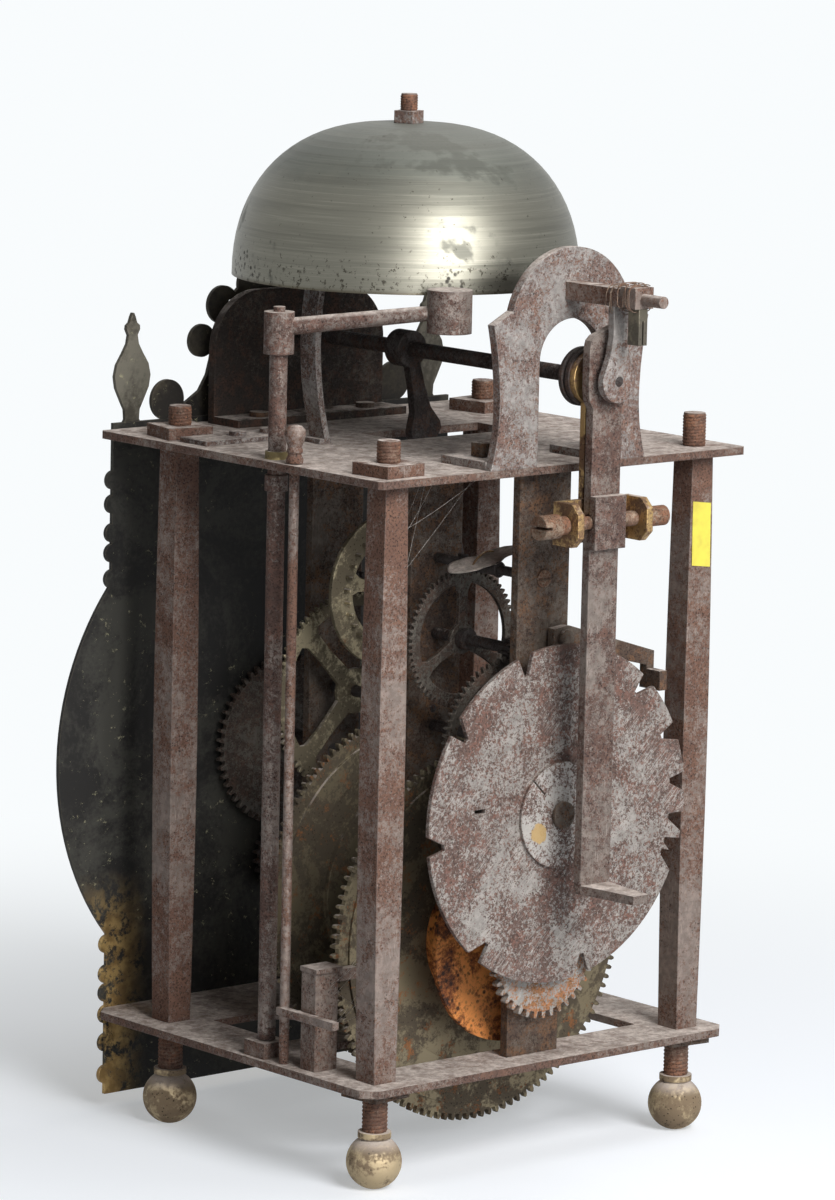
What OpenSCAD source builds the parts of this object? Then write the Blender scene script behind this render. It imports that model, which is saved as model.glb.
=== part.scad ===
// Column clock: an iron turret-style house clock of four posts between two plates.
// The dial faces -Y, the crutch and count wheel are at the back, +Y, and the part stands on four balls.

/* [Frame] */
// Distance between column axes across the dial
column_span_x = 205; // [190:1:225]
// Distance between column axes from front to back
column_span_y = 164; // [164:1:170]
// Height of the columns between the two plates
column_h = 300; // [296:1:330]
// Side of a column where it meets a plate
column_end = 14; // [12:0.5:16]
// Width of a column at half height, across the dial
column_mid_x = 17; // [15:0.5:19]
// Width of a column at half height, from front to back
column_mid_y = 15; // [14.5:0.5:17]
// Thickness of the top and bottom plates
plate_t = 4; // [3:0.5:6]
// How far the plates stand out past the column axes at the sides
plate_side = 20; // [16:1:24]
// How far the plates stand out past the column axes at the back
plate_rear = 18; // [15:1:22]
// How far the plates stand out past the column axes at the front
plate_front = 40.5; // [38:0.5:44]
// Diameter of the studs on top of the columns
stud_d = 11; // [9:0.2:12]
// Diameter of the same studs where they pass through the top plate
shank_d = 12; // [10:0.2:13]
// Diameter of the studs under the columns, which screw into the feet
foot_stud_d = 11.6; // [10:0.2:13]
// Side of the square nuts on the top studs
nut_w = 25; // [20:1:27]
// Height of the square nuts
nut_h = 6.2; // [5:0.2:8]
// Width of the rails of the bottom plate
rail_w = 32; // [28:1:36]

/* [Feet] */
// Diameter of the ball feet
ball_d = 28; // [24:1:32]
// Gap between the bottom plate and the balls, bridged by the studs
foot_gap = 22.5; // [18:0.5:30]

/* [Movement bars] */
// Width of the three upright bars that hold the wheels
bar_w = 34; // [32:1:38]
// Thickness of the upright bars
bar_t = 5; // [4:0.5:6]
// Distance from the frame's middle to the front bar and to the rear bar
bar_reach = 81; // [80:0.5:83]
// Radial running clearance of every pivot and bush
running_gap = 0.08; // [0.05:0.01:0.1]

/* [Going train] */
// Height of the going great wheel's arbor above the table
going_great_z = 124; // [122:1:128]
// Teeth of the going great wheel
going_great_teeth = 120; // [110:2:120]
// Module of the going great wheel and its pinion
going_great_module = 1.5; // [1.4:0.05:1.5]
// Teeth of the brass second wheel
going_second_teeth = 84; // [76:4:84]
// Module of the brass second wheel and the escape pinion
going_second_module = 1.25; // [1.15:0.05:1.25]
// Leaves of every steel pinion but the fly's
pinion_leaves = 8; // [8:1:9]
// Radius of the escape wheel
escape_r = 40; // [36:1:41]
// Pins standing out of the escape wheel
escape_pins = 30; // [20:1:36]

/* [Strike train] */
// Height of the strike great wheel's arbor above the table
strike_great_z = 109.2; // [108:0.2:112]
// Teeth of the strike great wheel
strike_great_teeth = 120; // [112:2:120]
// Module of the strike great wheel and its pinion
strike_great_module = 1.6; // [1.5:0.05:1.6]
// Teeth of the strike second wheel
strike_second_teeth = 72; // [68:2:74]
// Module of the strike second wheel and its pinion
strike_second_module = 1.2; // [1.1:0.05:1.25]
// Teeth of the strike third wheel
strike_third_teeth = 64; // [60:2:66]
// Module of the strike third wheel and the fly pinion
strike_third_module = 1.1; // [1:0.05:1.15]
// Leaves of the fly pinion
fly_leaves = 7; // [7:1:8]
// Radius of the count wheel
count_r = 86.2; // [80:0.2:88]
// Depth of the count wheel's notches
notch_depth = 10; // [7:0.5:12]

/* [Dial] */
// Radius of the round part of the dial plate
dial_r = 146.5; // [140:0.5:152]
// Half width of the dial plate above and below the round part
dial_half_w = 113.8; // [108:0.2:118]
// Thickness of the dial plate
dial_t = 2.2; // [1.5:0.1:3]
// Height of the dial plate's lower edge above the table
dial_foot_z = 8; // [6:1:20]
// Outer radius of the hour ring on the front of the dial
ring_r = 136; // [125:1:138]
// Width of the hour ring
ring_w = 40; // [30:1:46]

/* [Bell and hammer] */
// Outer radius of the bell's mouth
bell_r = 89; // [86:0.5:92]
// Height of the bell from mouth to crown
bell_h = 78.5; // [74:0.5:84]
// Thickness of the bell's wall
bell_wall = 3; // [2.5:0.1:4]
// Height of the bell's mouth above the top plate
bell_lift = 81.8; // [80:0.2:88]
// Diameter of the hammer's vertical arbor
hammer_arbor_d = 9; // [7:0.5:10]
// Diameter of the hammer head
hammer_head_d = 22.4; // [18:0.2:26]
// Height of the hammer head
hammer_head_h = 21.5; // [16:0.5:24]
// Gap between the hammer head and the bell at rest
strike_gap = 1.2; // [0.8:0.1:3]

/* [Pallets and crutch] */
// Height of the pallet arbor above the top plate
pallet_lift = 45; // [43:0.5:47]
// Diameter of the pallet arbor
pallet_arbor_d = 8; // [7:0.5:9]
// Thickness of the two arched cocks on the top plate
cock_t = 5; // [4:0.5:6]
// Distance from the pallet arbor down to the crutch's foot
crutch_drop = 258; // [220:1:262]
// Width of the crutch arm at its lower end
crutch_w = 19.5; // [17:0.5:23]
// Thickness of the crutch arm
crutch_t = 5; // [4:0.5:6]
// Diameter of the beat screw
beat_screw_d = 7; // [6:0.2:7.6]
// Distance from the pallet arbor down to the beat screw
beat_drop = 70.5; // [66:0.5:76]

/* [Hidden] */
$fn = 48;

// Levels above the table; the balls are cut a little flat below and bored for their studs above
foot_flat = 0.4;
foot_bore = 9;
foot_z = ball_d + foot_gap;
floor_z = foot_z + plate_t;
roof_z = floor_z + column_h;
deck_z = roof_z + plate_t;

// Plate outline
plate_x = column_span_x / 2 + plate_side;
plate_y1 = column_span_y / 2 + plate_rear;
plate_y0 = -column_span_y / 2 - plate_front;

// Rear faces of the three bars
front_bar_y = -bar_reach + bar_t / 2 + 1;
middle_bar_y = bar_t / 2 - 1;
rear_bar_y = bar_reach + bar_t / 2;
front_bar_y0 = front_bar_y - bar_t;
middle_bar_y0 = middle_bar_y - bar_t;
rear_bar_y0 = rear_bar_y - bar_t;

// Wheel centres, each one pitch sum above the last
going_great_r = going_great_module * going_great_teeth / 2;
going_second_r = going_second_module * going_second_teeth / 2;
strike_great_r = strike_great_module * strike_great_teeth / 2;
strike_second_r = strike_second_module * strike_second_teeth / 2;
strike_third_r = strike_third_module * strike_third_teeth / 2;
going_second_z = going_great_z + going_great_r + going_great_module * pinion_leaves / 2;
escape_z = going_second_z + going_second_r + going_second_module * pinion_leaves / 2;
strike_second_z = strike_great_z + strike_great_r + strike_great_module * pinion_leaves / 2;
strike_third_z = strike_second_z + strike_second_r + strike_second_module * pinion_leaves / 2;
fly_z = strike_third_z + strike_third_r + strike_third_module * fly_leaves / 2;
hour_module = 1.6;
hour_pinion_teeth = 22;
hour_wheel_teeth = 55;
hour_z = going_great_z + hour_module * (hour_pinion_teeth + hour_wheel_teeth) / 2;
count_module = 1.75;
count_pinion_teeth = 38;
count_gear_teeth = 44;
count_z = strike_great_z + count_module * (count_pinion_teeth + count_gear_teeth) / 2;

// Middle planes of the wheels, from front to back
going_second_y = -62;
escape_y = -35;
going_great_y = -20;
strike_third_y = 22;
strike_great_y = 40;
strike_second_y = strike_great_y + 20;
gear_t = 4;
wheel_t = 2.4;
great_t = 3;
arbor_r = 3;
pivot_r = 2;
great_arbor_r = 6;
great_pivot_r = 3.5;
end_shake = 0.5;
drum_r = 36;
drum_flange_r = 51;
drum_flange_t = 3;
drum_end_y = strike_great_y + great_t / 2 + 22;
count_gear_y = rear_bar_y + 6.4;
count_wheel_t = 2.5;
count_wheel_y = count_gear_y + gear_t / 2 + 7.6;
count_hub_r = 9;
count_stud_r = 5;
fly_bush_r = 4.5;

// Dial, its ring and its hand
dial_back_y = plate_y0;
dial_face_y = dial_back_y - dial_t;
dial_top_z = deck_z + 3;
ring_t = 1.6;
crest_t = 2.2;
hour_wheel_y = dial_back_y + 4.5;
hour_stud_r = 4;
hour_pipe_r = 6.5;
hand_t = 1.8;
hand_y = dial_face_y - ring_t - 2.6;
hour_stud_y = hand_y - hand_t - 2;
lobe_r = 5;

// Arched cocks and the arbor between them
pallet_z = deck_z + pallet_lift;
pallet_r = pallet_arbor_d / 2;
pallet_pivot_r = 2.5;
rear_cock_y = plate_y1;
rear_cock_y0 = rear_cock_y - cock_t;
front_cock_y = plate_y0 + 11.5;
cock_foot_t = 4;
cock_bolt_r = 3;
hanger_t = 4;
hanger_y = rear_cock_y + 35.5;
bracket_z = deck_z + 82.5;
bracket_h = 9;
bracket_w = 10;
bracket_end_y = rear_cock_y + 52;
bracket_pin_y = bracket_end_y + 14;
crutch_y = rear_cock_y + 27.5;
beat_z = pallet_z - beat_drop;
beat_y = crutch_y - crutch_t / 2 + 1.5;
yoke_x = 21;
yoke_t = 4;
pallet_hub_y = -27;

// Escape pins and the fork that stands astride them
pin_r = 1;
pin_len = 5;
pin_ring_r = escape_r - 9;
pallet_swing = 2;
fork_angle = 90 + acos(pin_ring_r / (pallet_z - escape_z));
fork_x = pin_ring_r * cos(fork_angle);
fork_z = escape_z + pin_ring_r * sin(fork_angle);
fork_reach = norm([fork_x, fork_z - pallet_z]);
fork_half_gap = pin_r + fork_reach * sin(pallet_swing) + 0.8;

// Bell, on the same axis as the pallet hub
bell_y = -27.6;
bell_stud_r = 4;
bell_nut_w = 11;
stand_foot_t = 2.5;
bell_z = deck_z + bell_lift;
crown_z = bell_z + bell_h;
strap_top = crown_z - bell_wall - 8;

// Hammer
hammer_x = column_span_x / 2 + 9.5;
hammer_y = 7.6;
hammer_r = hammer_arbor_d / 2;
hammer_hub_z = deck_z + 52.5;
hammer_hub_h = 21;
head_z = bell_z - 6.5;
head_angle = 62;
head_dist = bell_r + hammer_head_d / 2 + strike_gap;
head_x = head_dist * cos(head_angle);
head_y = bell_y + head_dist * sin(head_angle);

// Release rod and the bracket beside it
rod_x = column_span_x / 2 + 14;
rod_y = 27;
rod_r = 2.5;
post_w = 14.5;
post_y0 = rod_y + 13;

// Count wheel detent
detent_x = -9;
detent_z = count_z + count_r + 1.5;
detent_y = rear_bar_y + 2;
detent_t = 5;
detent_stud_r = 2.5;
finger_angle = 142;
finger_w = 5;

// The object is centred on its own box, between the hour stud and the bracket's pin
y_shift = -(bracket_pin_y + hour_stud_y) / 2;

module at_origin() translate([0, y_shift, 0]) children();

// A flat outline in x and z, given thickness t forward of y
module upright(y, t) translate([0, y, 0]) rotate([90, 0, 0]) linear_extrude(t) children();

// A round bar along Y from y0 to y1
module shaft(x, z, y0, y1, r) translate([x, y0, z]) rotate([-90, 0, 0]) cylinder(h = y1 - y0, r = r);

function polar(r, a) = [r * cos(a), r * sin(a)];

// A right half outline, bottom to top, closed with its mirror image
function both_sides(half) = concat(half, [for (k = [len(half) - 1:-1:0]) [-half[k][0], half[k][1]]]);

// Toothed outline: each tooth has its root, pitch and tip half widths as shares of the pitch
module toothed(n, m, start, root, mid, tip, dedendum, addendum) {
    r = m * n / 2;
    step = 360 / n;
    half = [root, mid, tip];
    radius = [r - dedendum * m, r, r + addendum * m];
    polygon([for (k = [0:n - 1]) for (s = [-1, 1]) for (j = [0:2])
        let (i = s < 0 ? j : 2 - j) polar(radius[i], start + step * (k + s * half[i]))]);
}

// Wheel that drives a leaf pinion
module wheel_teeth(n, m, start = 90) toothed(n, m, start, 0.26, 0.225, 0.1, 1.3, 0.85);

// Leaf pinion whose gap faces the wheel below it
module leaf_teeth(n, m, start) toothed(n, m, start, 0.15, 0.175, 0.07, 1.3, 0.6);

// Wheel that runs with another wheel of like size
module gear_teeth(n, m, start = 90) toothed(n, m, start, 0.25, 0.205, 0.12, 1.15, 0.85);

// Wheel with arms, a rim and a hub
module crossed_wheel(n, m, rim, arms, arm_w, hub_r, bore, turn) {
    r = m * n / 2 - 1.3 * m - rim;
    difference() {
        wheel_teeth(n, m);
        difference() {
            circle(r, $fn = 96);
            circle(hub_r);
            for (k = [0:arms - 1]) rotate(turn + 360 * k / arms) arm_outline(hub_r, r, arm_w);
        }
        circle(bore);
    }
}

// One arm, waisted like a filed one
module arm_outline(hub_r, rim_r, w) {
    mid = (hub_r + rim_r) / 2;
    polygon([[0, -w * 0.7], [hub_r, -w * 0.62], [mid, -w / 2], [rim_r - 4, -w * 0.6], [rim_r + 1, -w * 1.1],
        [rim_r + 1, w * 1.1], [rim_r - 4, w * 0.6], [mid, w / 2], [hub_r, w * 0.62], [0, w * 0.7]]);
}

module plate_outline(corner) {
    difference() {
        translate([-plate_x, plate_y0]) square([2 * plate_x, plate_y1 - plate_y0]);
        for (sx = [-1, 1]) for (y = [plate_y0, plate_y1])
            translate([sx * plate_x, y]) rotate(45) square(corner * sqrt(2), center = true);
    }
}

module at_columns() for (sx = [-1, 1]) for (sy = [-1, 1])
    translate([sx * column_span_x / 2, sy * column_span_y / 2, 0]) children();

module bottom_plate() {
    opening_x = column_span_x / 2 - rail_w / 2;
    rear_y1 = column_span_y / 2 - 15;
    color("dimgray") translate([0, 0, foot_z]) difference() {
        linear_extrude(plate_t) difference() {
            plate_outline(7);
            translate([-opening_x, 8]) square([2 * opening_x, rear_y1 - 8]);
            translate([-opening_x, -rear_y1]) square([2 * opening_x, rear_y1 - 9]);
        }
        at_columns() translate([0, 0, -1]) cylinder(h = plate_t + 2, d = foot_stud_d);
        translate([rod_x, rod_y, -1]) cylinder(h = plate_t + 2, r = rod_r + running_gap);
    }
}

module top_plate() {
    color("dimgray") translate([0, 0, roof_z]) difference() {
        linear_extrude(plate_t) difference() {
            plate_outline(2);
            translate([-66, -44]) square([80, 32]);
        }
        at_columns() translate([0, 0, -1]) cylinder(h = plate_t + 2, d = shank_d);
        at_front_cock_bolts() translate([0, 0, -1]) cylinder(h = plate_t + 2, r = cock_bolt_r);
        at_rear_cock_bolts() translate([0, 0, -1]) cylinder(h = plate_t + 2, r = cock_bolt_r);
        translate([hammer_x, hammer_y, -1]) cylinder(h = plate_t + 2, r = hammer_r + 2);
        translate([rod_x, rod_y, -1]) cylinder(h = plate_t + 2, r = rod_r + running_gap);
    }
}

// Side outline of a column, swelling from its ends to half height
module column_outline(end, mid) {
    steps = 8;
    swell = function (t) end / 2 + (mid - end) / 2 * sin(180 * t);
    polygon(concat([for (k = [0:steps]) [swell(k / steps), column_h * k / steps]],
        [for (k = [steps:-1:0]) [-swell(k / steps), column_h * k / steps]]));
}

// stud_up is how far the top stud stands above the deck, and root how deep each stud starts in the iron
module column(sx, sy, stud_up) {
    root = 1;
    color("rosybrown") translate([sx * column_span_x / 2, sy * column_span_y / 2, floor_z]) {
        intersection() {
            translate([0, 25, 0]) rotate([90, 0, 0]) linear_extrude(50)
                column_outline(column_end, column_mid_x);
            translate([-25, 0, 0]) rotate([90, 0, 90]) linear_extrude(50)
                column_outline(column_end, column_mid_y);
        }
        translate([0, 0, column_h - root]) cylinder(h = plate_t + root, d = shank_d);
        translate([0, 0, column_h + plate_t - root]) cylinder(h = stud_up + root, d = stud_d);
        translate([0, 0, ball_d - foot_bore - floor_z])
            cylinder(h = floor_z - ball_d + foot_bore + root, d = foot_stud_d);
    }
}

module front_right_column() column(1, -1, nut_h + 10);
module rear_right_column() column(1, 1, nut_h + 11);
module front_left_column() column(-1, -1, nut_h + 10);
module rear_left_column() column(-1, 1, 17);

module square_nut(w, h, hole) linear_extrude(h) difference() {
    square(w, center = true);
    circle(d = hole);
}

// The rear left stud has lost its nut
module column_nuts() color("rosybrown")
    for (p = [[1, 1, 4], [1, -1, -12], [-1, -1, 8]])
        translate([p[0] * column_span_x / 2, p[1] * column_span_y / 2, deck_z])
            rotate(p[2]) square_nut(nut_w, nut_h, stud_d);

module foot_washers() color("peru")
    for (sx = [-1, 1])
        translate([sx * column_span_x / 2, column_span_y / 2, foot_z - 4])
            rotate(sx * 6) square_nut(nut_w - 1, 4, foot_stud_d);

module ball_feet() {
    r = ball_d / 2;
    color("darkgoldenrod") at_columns() rotate_extrude($fn = 64) difference() {
        union() {
            intersection() {
                translate([0, r - foot_flat]) circle(r, $fn = 64);
                square([r + 1, ball_d]);
            }
            translate([0, ball_d - 2]) square([foot_stud_d / 2 + 2.6, 3]);
        }
        translate([-1, ball_d - foot_bore]) square([foot_stud_d / 2 + 1, foot_bore + 2]);
    }
}

// A bar with its pivot holes, each given as [z, hole radius]
module pivot_bar(y, holes) {
    color("dimgray") upright(y, bar_t) difference() {
        translate([-bar_w / 2, floor_z]) square([bar_w, column_h]);
        for (h = holes) translate([0, h[0]]) circle(h[1]);
    }
}

going_holes = [[going_great_z, great_pivot_r + running_gap], [going_second_z, pivot_r + running_gap],
    [escape_z, pivot_r + running_gap]];
strike_holes = [[strike_great_z, great_pivot_r + running_gap], [strike_second_z, pivot_r + running_gap],
    [strike_third_z, pivot_r + running_gap], [fly_z, pivot_r + running_gap]];

module front_bar() pivot_bar(front_bar_y, concat(going_holes, [[hour_z, hour_stud_r]]));
module middle_bar() pivot_bar(middle_bar_y, concat(going_holes, strike_holes));
module rear_bar() {
    difference() {
        pivot_bar(rear_bar_y, concat(strike_holes, [[count_z, count_stud_r]]));
        shaft(detent_x, detent_z, rear_bar_y0 - 1, rear_bar_y + 1, detent_stud_r);
        shaft(0, fly_z, rear_bar_y0 - 1, rear_bar_y + 1, fly_bush_r);
    }
}

// Slotted plug in the rear bar, with a blind bore for the fly's pivot
module fly_bush() color("gray") difference() {
    shaft(0, fly_z, rear_bar_y0, rear_bar_y + 1, fly_bush_r);
    shaft(0, fly_z, rear_bar_y0 - 1, rear_bar_y - 1, pivot_r + running_gap);
    translate([-fly_bush_r - 1, rear_bar_y + 0.2, fly_z - 0.6]) cube([2 * fly_bush_r + 2, 2, 1.2]);
}

// Scrolled edge of the dial plate: half rounds down both sides
side_lobes = [332, 319.5, 304.5, 294, 280.5, 88, 72, 62, 50.5, 35.5, 18.5];

module dial_plate() {
    color("darkslategray") upright(dial_back_y, dial_t) difference() {
        union() {
            translate([-dial_half_w, dial_foot_z]) square([2 * dial_half_w, dial_top_z - dial_foot_z]);
            intersection() {
                translate([0, hour_z]) circle(dial_r, $fn = 128);
                translate([-dial_r, dial_foot_z]) square([2 * dial_r, dial_top_z - dial_foot_z]);
            }
            for (sx = [-1, 1]) for (z = side_lobes)
                translate([sx * (dial_half_w - 1), z]) circle(lobe_r, $fn = 24);
        }
        translate([0, hour_z]) circle(hour_pipe_r + 0.8);
    }
}

// Half of the crest: a waisted neck between round ears, with a pierced scroll and a bow above
crest_lap = 24;
crest_gap = 1;

module crest_half() {
    base = dial_top_z - crest_lap;
    polygon([[-1, base], [72, base], [72, deck_z + 7], [64, deck_z + 11], [56, deck_z + 16], [51, deck_z + 24],
        [48.7, deck_z + 32], [47, deck_z + 42], [43, deck_z + 58], [30, deck_z + 69], [14, deck_z + 76],
        [-1, deck_z + 79]]);
    translate([76.8, deck_z + 12.5]) circle(10.6);
    translate([54.6, deck_z + 42]) circle(8.6);
    translate([41, deck_z + 60]) circle(10);
    translate([20, deck_z + 70]) circle(11);
}

module dial_crest() color("darkolivegreen") upright(dial_face_y, crest_t) difference() {
    union() {
        crest_half();
        mirror([1, 0]) crest_half();
    }
    for (sx = [-1, 1]) translate([sx * 36, deck_z + 61]) circle(1.6);
    translate([0, hour_z]) circle(ring_r + crest_gap, $fn = 128);
}

// Right half of a flat finial at the dial plate's upper corners: foot, bulb, neck, knop and tip
finial_half = [[6, -12], [6.4, 1], [4.4, 4], [4.8, 9], [7.4, 14], [10.6, 20.5], [11.6, 26.5], [10.2, 32.5],
    [6.6, 38], [3.7, 43], [2.9, 47.5], [4.4, 50.5], [4.2, 52.5], [2.4, 54], [1.4, 57], [0.4, 59]];
finial_inset = 13.8;

module dial_finials() color("olive") upright(dial_face_y, crest_t)
    for (sx = [-1, 1]) translate([sx * (dial_half_w - finial_inset), deck_z]) polygon(both_sides(finial_half));

module hour_ring() color("khaki") upright(dial_face_y, ring_t) translate([0, hour_z]) difference() {
    circle(ring_r, $fn = 128);
    circle(ring_r - ring_w, $fn = 128);
}

module hour_stud() color("gray") {
    shaft(0, hour_z, hour_stud_y, front_bar_y, hour_stud_r);
    shaft(0, hour_z, hour_wheel_y + 6, front_bar_y0, hour_stud_r + 3);
}

// Front cock: a round-shouldered plate with a foot turned inwards
module front_cock() {
    half_w = 57;
    shoulder = 30;
    top = 68.5;
    color("rosybrown") difference() {
        union() {
            upright(front_cock_y, cock_t) translate([0, deck_z]) {
                translate([-half_w, 0]) square([2 * half_w, top - shoulder]);
                translate([-half_w + shoulder, 0]) square([2 * (half_w - shoulder), top]);
                for (sx = [-1, 1]) translate([sx * (half_w - shoulder), top - shoulder])
                    circle(shoulder, $fn = 96);
            }
            translate([-half_w, front_cock_y, deck_z]) cube([2 * half_w, 20, cock_foot_t]);
        }
        shaft(0, pallet_z, front_cock_y - cock_t - 1, front_cock_y + 1, pallet_pivot_r + running_gap);
        at_front_cock_bolts() translate([0, 0, deck_z - 1]) cylinder(h = 9, r = cock_bolt_r);
    }
}

// Rear cock: an arch on two waisted legs with shoulders
leg_foot = 51.5;
leg_waist = 46.5;
leg_in = 21;
arch_z = 68;

module rear_cock() {
    shoulder_z = 72;
    waist_z = 30;
    steps = 8;
    flare = function (z) pow((z - waist_z) / waist_z, 2) * (z < waist_z ? 1 : 0.5);
    edge = function (z) leg_waist + (leg_foot - leg_waist) * flare(z);
    side = [for (k = [0:steps]) let (z = shoulder_z * k / steps) [edge(z), z]];
    color("rosybrown") difference() {
        union() {
            upright(rear_cock_y, cock_t) translate([0, deck_z]) difference() {
                union() {
                    translate([0, arch_z]) circle(40.5, $fn = 96);
                    for (sx = [-1, 1]) scale([sx, 1])
                        polygon(concat([[leg_in - 10, 0]], side,
                            [[38, shoulder_z + 7], [leg_in - 10, shoulder_z + 7]]));
                }
                translate([-leg_in, -1]) square([2 * leg_in, 53]);
                translate([0, 52]) circle(leg_in, $fn = 64);
            }
            for (sx = [-1, 1]) translate([sx * (leg_foot + leg_in) / 2 - 15, rear_cock_y0 - 33, deck_z])
                cube([30, 33.5, cock_foot_t]);
        }
        at_rear_cock_bolts() translate([0, 0, deck_z - 1]) cylinder(h = 9, r = cock_bolt_r);
    }
}

module at_rear_cock_bolts() for (sx = [-1, 1]) translate([sx * 37, rear_cock_y0 - 17, 0]) children();
module at_front_cock_bolts() for (sx = [-1, 1]) translate([sx * 36, front_cock_y + 11, 0]) children();

module cock_bolts() color("gray") {
    at_rear_cock_bolts() {
        translate([0, 0, roof_z]) cylinder(h = plate_t + cock_foot_t, r = cock_bolt_r);
        translate([0, 0, deck_z + cock_foot_t + 3.5]) cube([9, 9, 7], center = true);
    }
    at_front_cock_bolts() {
        translate([0, 0, roof_z]) cylinder(h = plate_t + cock_foot_t, r = cock_bolt_r);
        translate([0, 0, deck_z + cock_foot_t]) cylinder(h = 2.5, r = 5);
    }
}

// Pear-shaped hanger under the bracket, which holds the pallet arbor's rear pivot
module pallet_hanger() {
    neck_top = bracket_z - pallet_z;
    color("rosybrown") upright(hanger_y, hanger_t) translate([0, pallet_z]) difference() {
        polygon(both_sides(concat([for (a = [-90:10:30]) polar(10.6, a)],
            [[6.4, 12], [4.4, 22], [4.8, neck_top]])));
        circle(pallet_pivot_r + running_gap);
    }
}

bracket_grip = 11;

module suspension_bracket() color("rosybrown") {
    translate([-bracket_w / 2, rear_cock_y, bracket_z])
        cube([bracket_w, bracket_end_y - rear_cock_y, bracket_h]);
    translate([-bracket_w / 2 - 1, bracket_end_y - bracket_grip, bracket_z])
        cube([bracket_w + 2, bracket_grip, bracket_h + 1.5]);
    shaft(0, bracket_z + bracket_h / 2, bracket_end_y, bracket_pin_y, 3);
}

// Split block that clamps the pendulum's spring
module suspension_block() {
    block_w = 5.6;
    block_d = 7.8;
    block_h = 18;
    color("dimgray") translate([0, bracket_end_y - 0.5 - block_d, bracket_z - block_h]) difference() {
        translate([-block_w / 2, 0, 0]) cube([block_w, block_d, block_h]);
        translate([-0.5, -1, -1]) cube([1, block_d + 2, 13]);
    }
}

// Strap that bows outwards from its foot on the deck and curves over to the bell's crown
module bell_stand() {
    strap_w = 12;
    strap_t = 3.5;
    bow_x = 64;
    bow_z = 52;
    foot_x = 56;
    flat_x = 9;
    top = strap_top - deck_z;
    edge = function (t) concat(
        [for (k = [0:4]) let (z = bow_z * k / 5) [bow_x - t - (bow_x - foot_x) * pow(1 - k / 5, 2), z]],
        [for (a = [0:10:90]) [flat_x + (bow_x - flat_x - t) * cos(a), bow_z + (top - t - bow_z) * sin(a)]]);
    outer = edge(0);
    inner = edge(strap_t);
    color("slategray") difference() {
        union() {
            upright(bell_y + strap_w / 2, strap_w) translate([0, deck_z]) polygon(concat(outer, [[-8, top],
                [-8, top - strap_t]], [for (k = [len(inner) - 1:-1:0]) inner[k]]));
            translate([foot_x - strap_t, bell_y - 36, deck_z])
                cube([strap_t + 4, 36 + strap_w / 2, stand_foot_t]);
            translate([foot_x - strap_t, bell_y - 39, deck_z]) cube([62, 21, stand_foot_t]);
        }
        translate([0, bell_y, strap_top - strap_t - 1]) cylinder(h = strap_t + 2, r = bell_stud_r);
        at_stand_screws() translate([0, 0, -1]) cylinder(h = stand_foot_t + 2, r = 2.5);
    }
    color("gray") at_stand_screws() {
        cylinder(h = stand_foot_t, r = 2.5);
        translate([0, 0, stand_foot_t]) cylinder(h = 2.4, r = 4.4);
    }
}

module at_stand_screws() for (x = [66, 86]) translate([x, bell_y - 28, deck_z]) children();

// Bell: a bowl whose outline is squarer than an ellipse round a flat crown, with a thin wall
bell_steps = 20;
bell_flat_r = 12;
bell_power = 0.9;
function bell_edge(r, h) = [for (k = [0:bell_steps]) let (a = 90 * k / bell_steps)
    [bell_flat_r + (r - bell_flat_r) * pow(cos(a), bell_power), h * pow(sin(a), bell_power)]];

module bell() {
    inner = bell_edge(bell_r - bell_wall, bell_h - bell_wall);
    color("darkgray") translate([0, bell_y, bell_z]) rotate_extrude($fn = 128) difference() {
        polygon(concat(bell_edge(bell_r, bell_h), [[0, bell_h], [0, bell_h - bell_wall]],
            [for (k = [bell_steps:-1:0]) inner[k]]));
        translate([-1, 0]) square([1 + bell_stud_r, bell_h + 1]);
    }
}

// Stud through stand and bell, its collar below and square nut above
module bell_nut() {
    color("wheat") {
        translate([0, bell_y, strap_top - 6]) cylinder(h = crown_z + 15 - strap_top + 6, r = bell_stud_r);
        translate([0, bell_y, strap_top]) cylinder(h = 8, r = 9);
        translate([0, bell_y, crown_z]) rotate(20) linear_extrude(6.4) square(bell_nut_w, center = true);
        translate([0, bell_y, strap_top - 8]) linear_extrude(4.5) square(12, center = true);
    }
}

// Step for the hammer arbor's lower pivot
module hammer_step() color("dimgray") translate([hammer_x, hammer_y, floor_z]) difference() {
    translate([-8, -8, 0]) cube([16, 16, 8]);
    translate([0, 0, 2]) cylinder(h = 8, r = 2.5 + running_gap);
}

module hammer_bush() color("goldenrod") translate([hammer_x, hammer_y, roof_z]) difference() {
    union() {
        cylinder(h = plate_t, r = hammer_r + 2);
        translate([0, 0, plate_t]) cylinder(h = 4, r = hammer_r + 1.4);
    }
    translate([0, 0, -1]) cylinder(h = plate_t + 8, r = hammer_r + running_gap);
}

// Post on the bottom plate with a stop arm reaching inwards and a wedge across it
module lower_bracket() {
    post_h = 50;
    arm_x0 = strike_great_r - 8;
    color("rosybrown") {
        translate([rod_x - post_w, post_y0, floor_z]) cube([post_w, 11, post_h]);
        translate([rod_x - post_w - 2, post_y0 - 1, floor_z + post_h]) cube([post_w + 2.4, 13, 2.5]);
        translate([arm_x0, post_y0 + 4, floor_z + post_h - 6]) cube([rod_x - post_w - arm_x0, 5, 6]);
    }
}

// Studs in the rear bar: the count wheel's, with its collar, and the detent's
module bar_studs() color("gray") {
    shaft(detent_x, detent_z, rear_bar_y0, detent_y + detent_t + 1.5, detent_stud_r);
    shaft(detent_x, detent_z, detent_y + detent_t + 0.5, detent_y + detent_t + 2.5, detent_stud_r + 2);
    shaft(0, count_z, rear_bar_y0 - 3, count_wheel_y + 3.5, count_stud_r);
    shaft(0, count_z, count_wheel_y + 2 + end_shake, count_wheel_y + 4.5, count_stud_r + 1.8);
}

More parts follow.
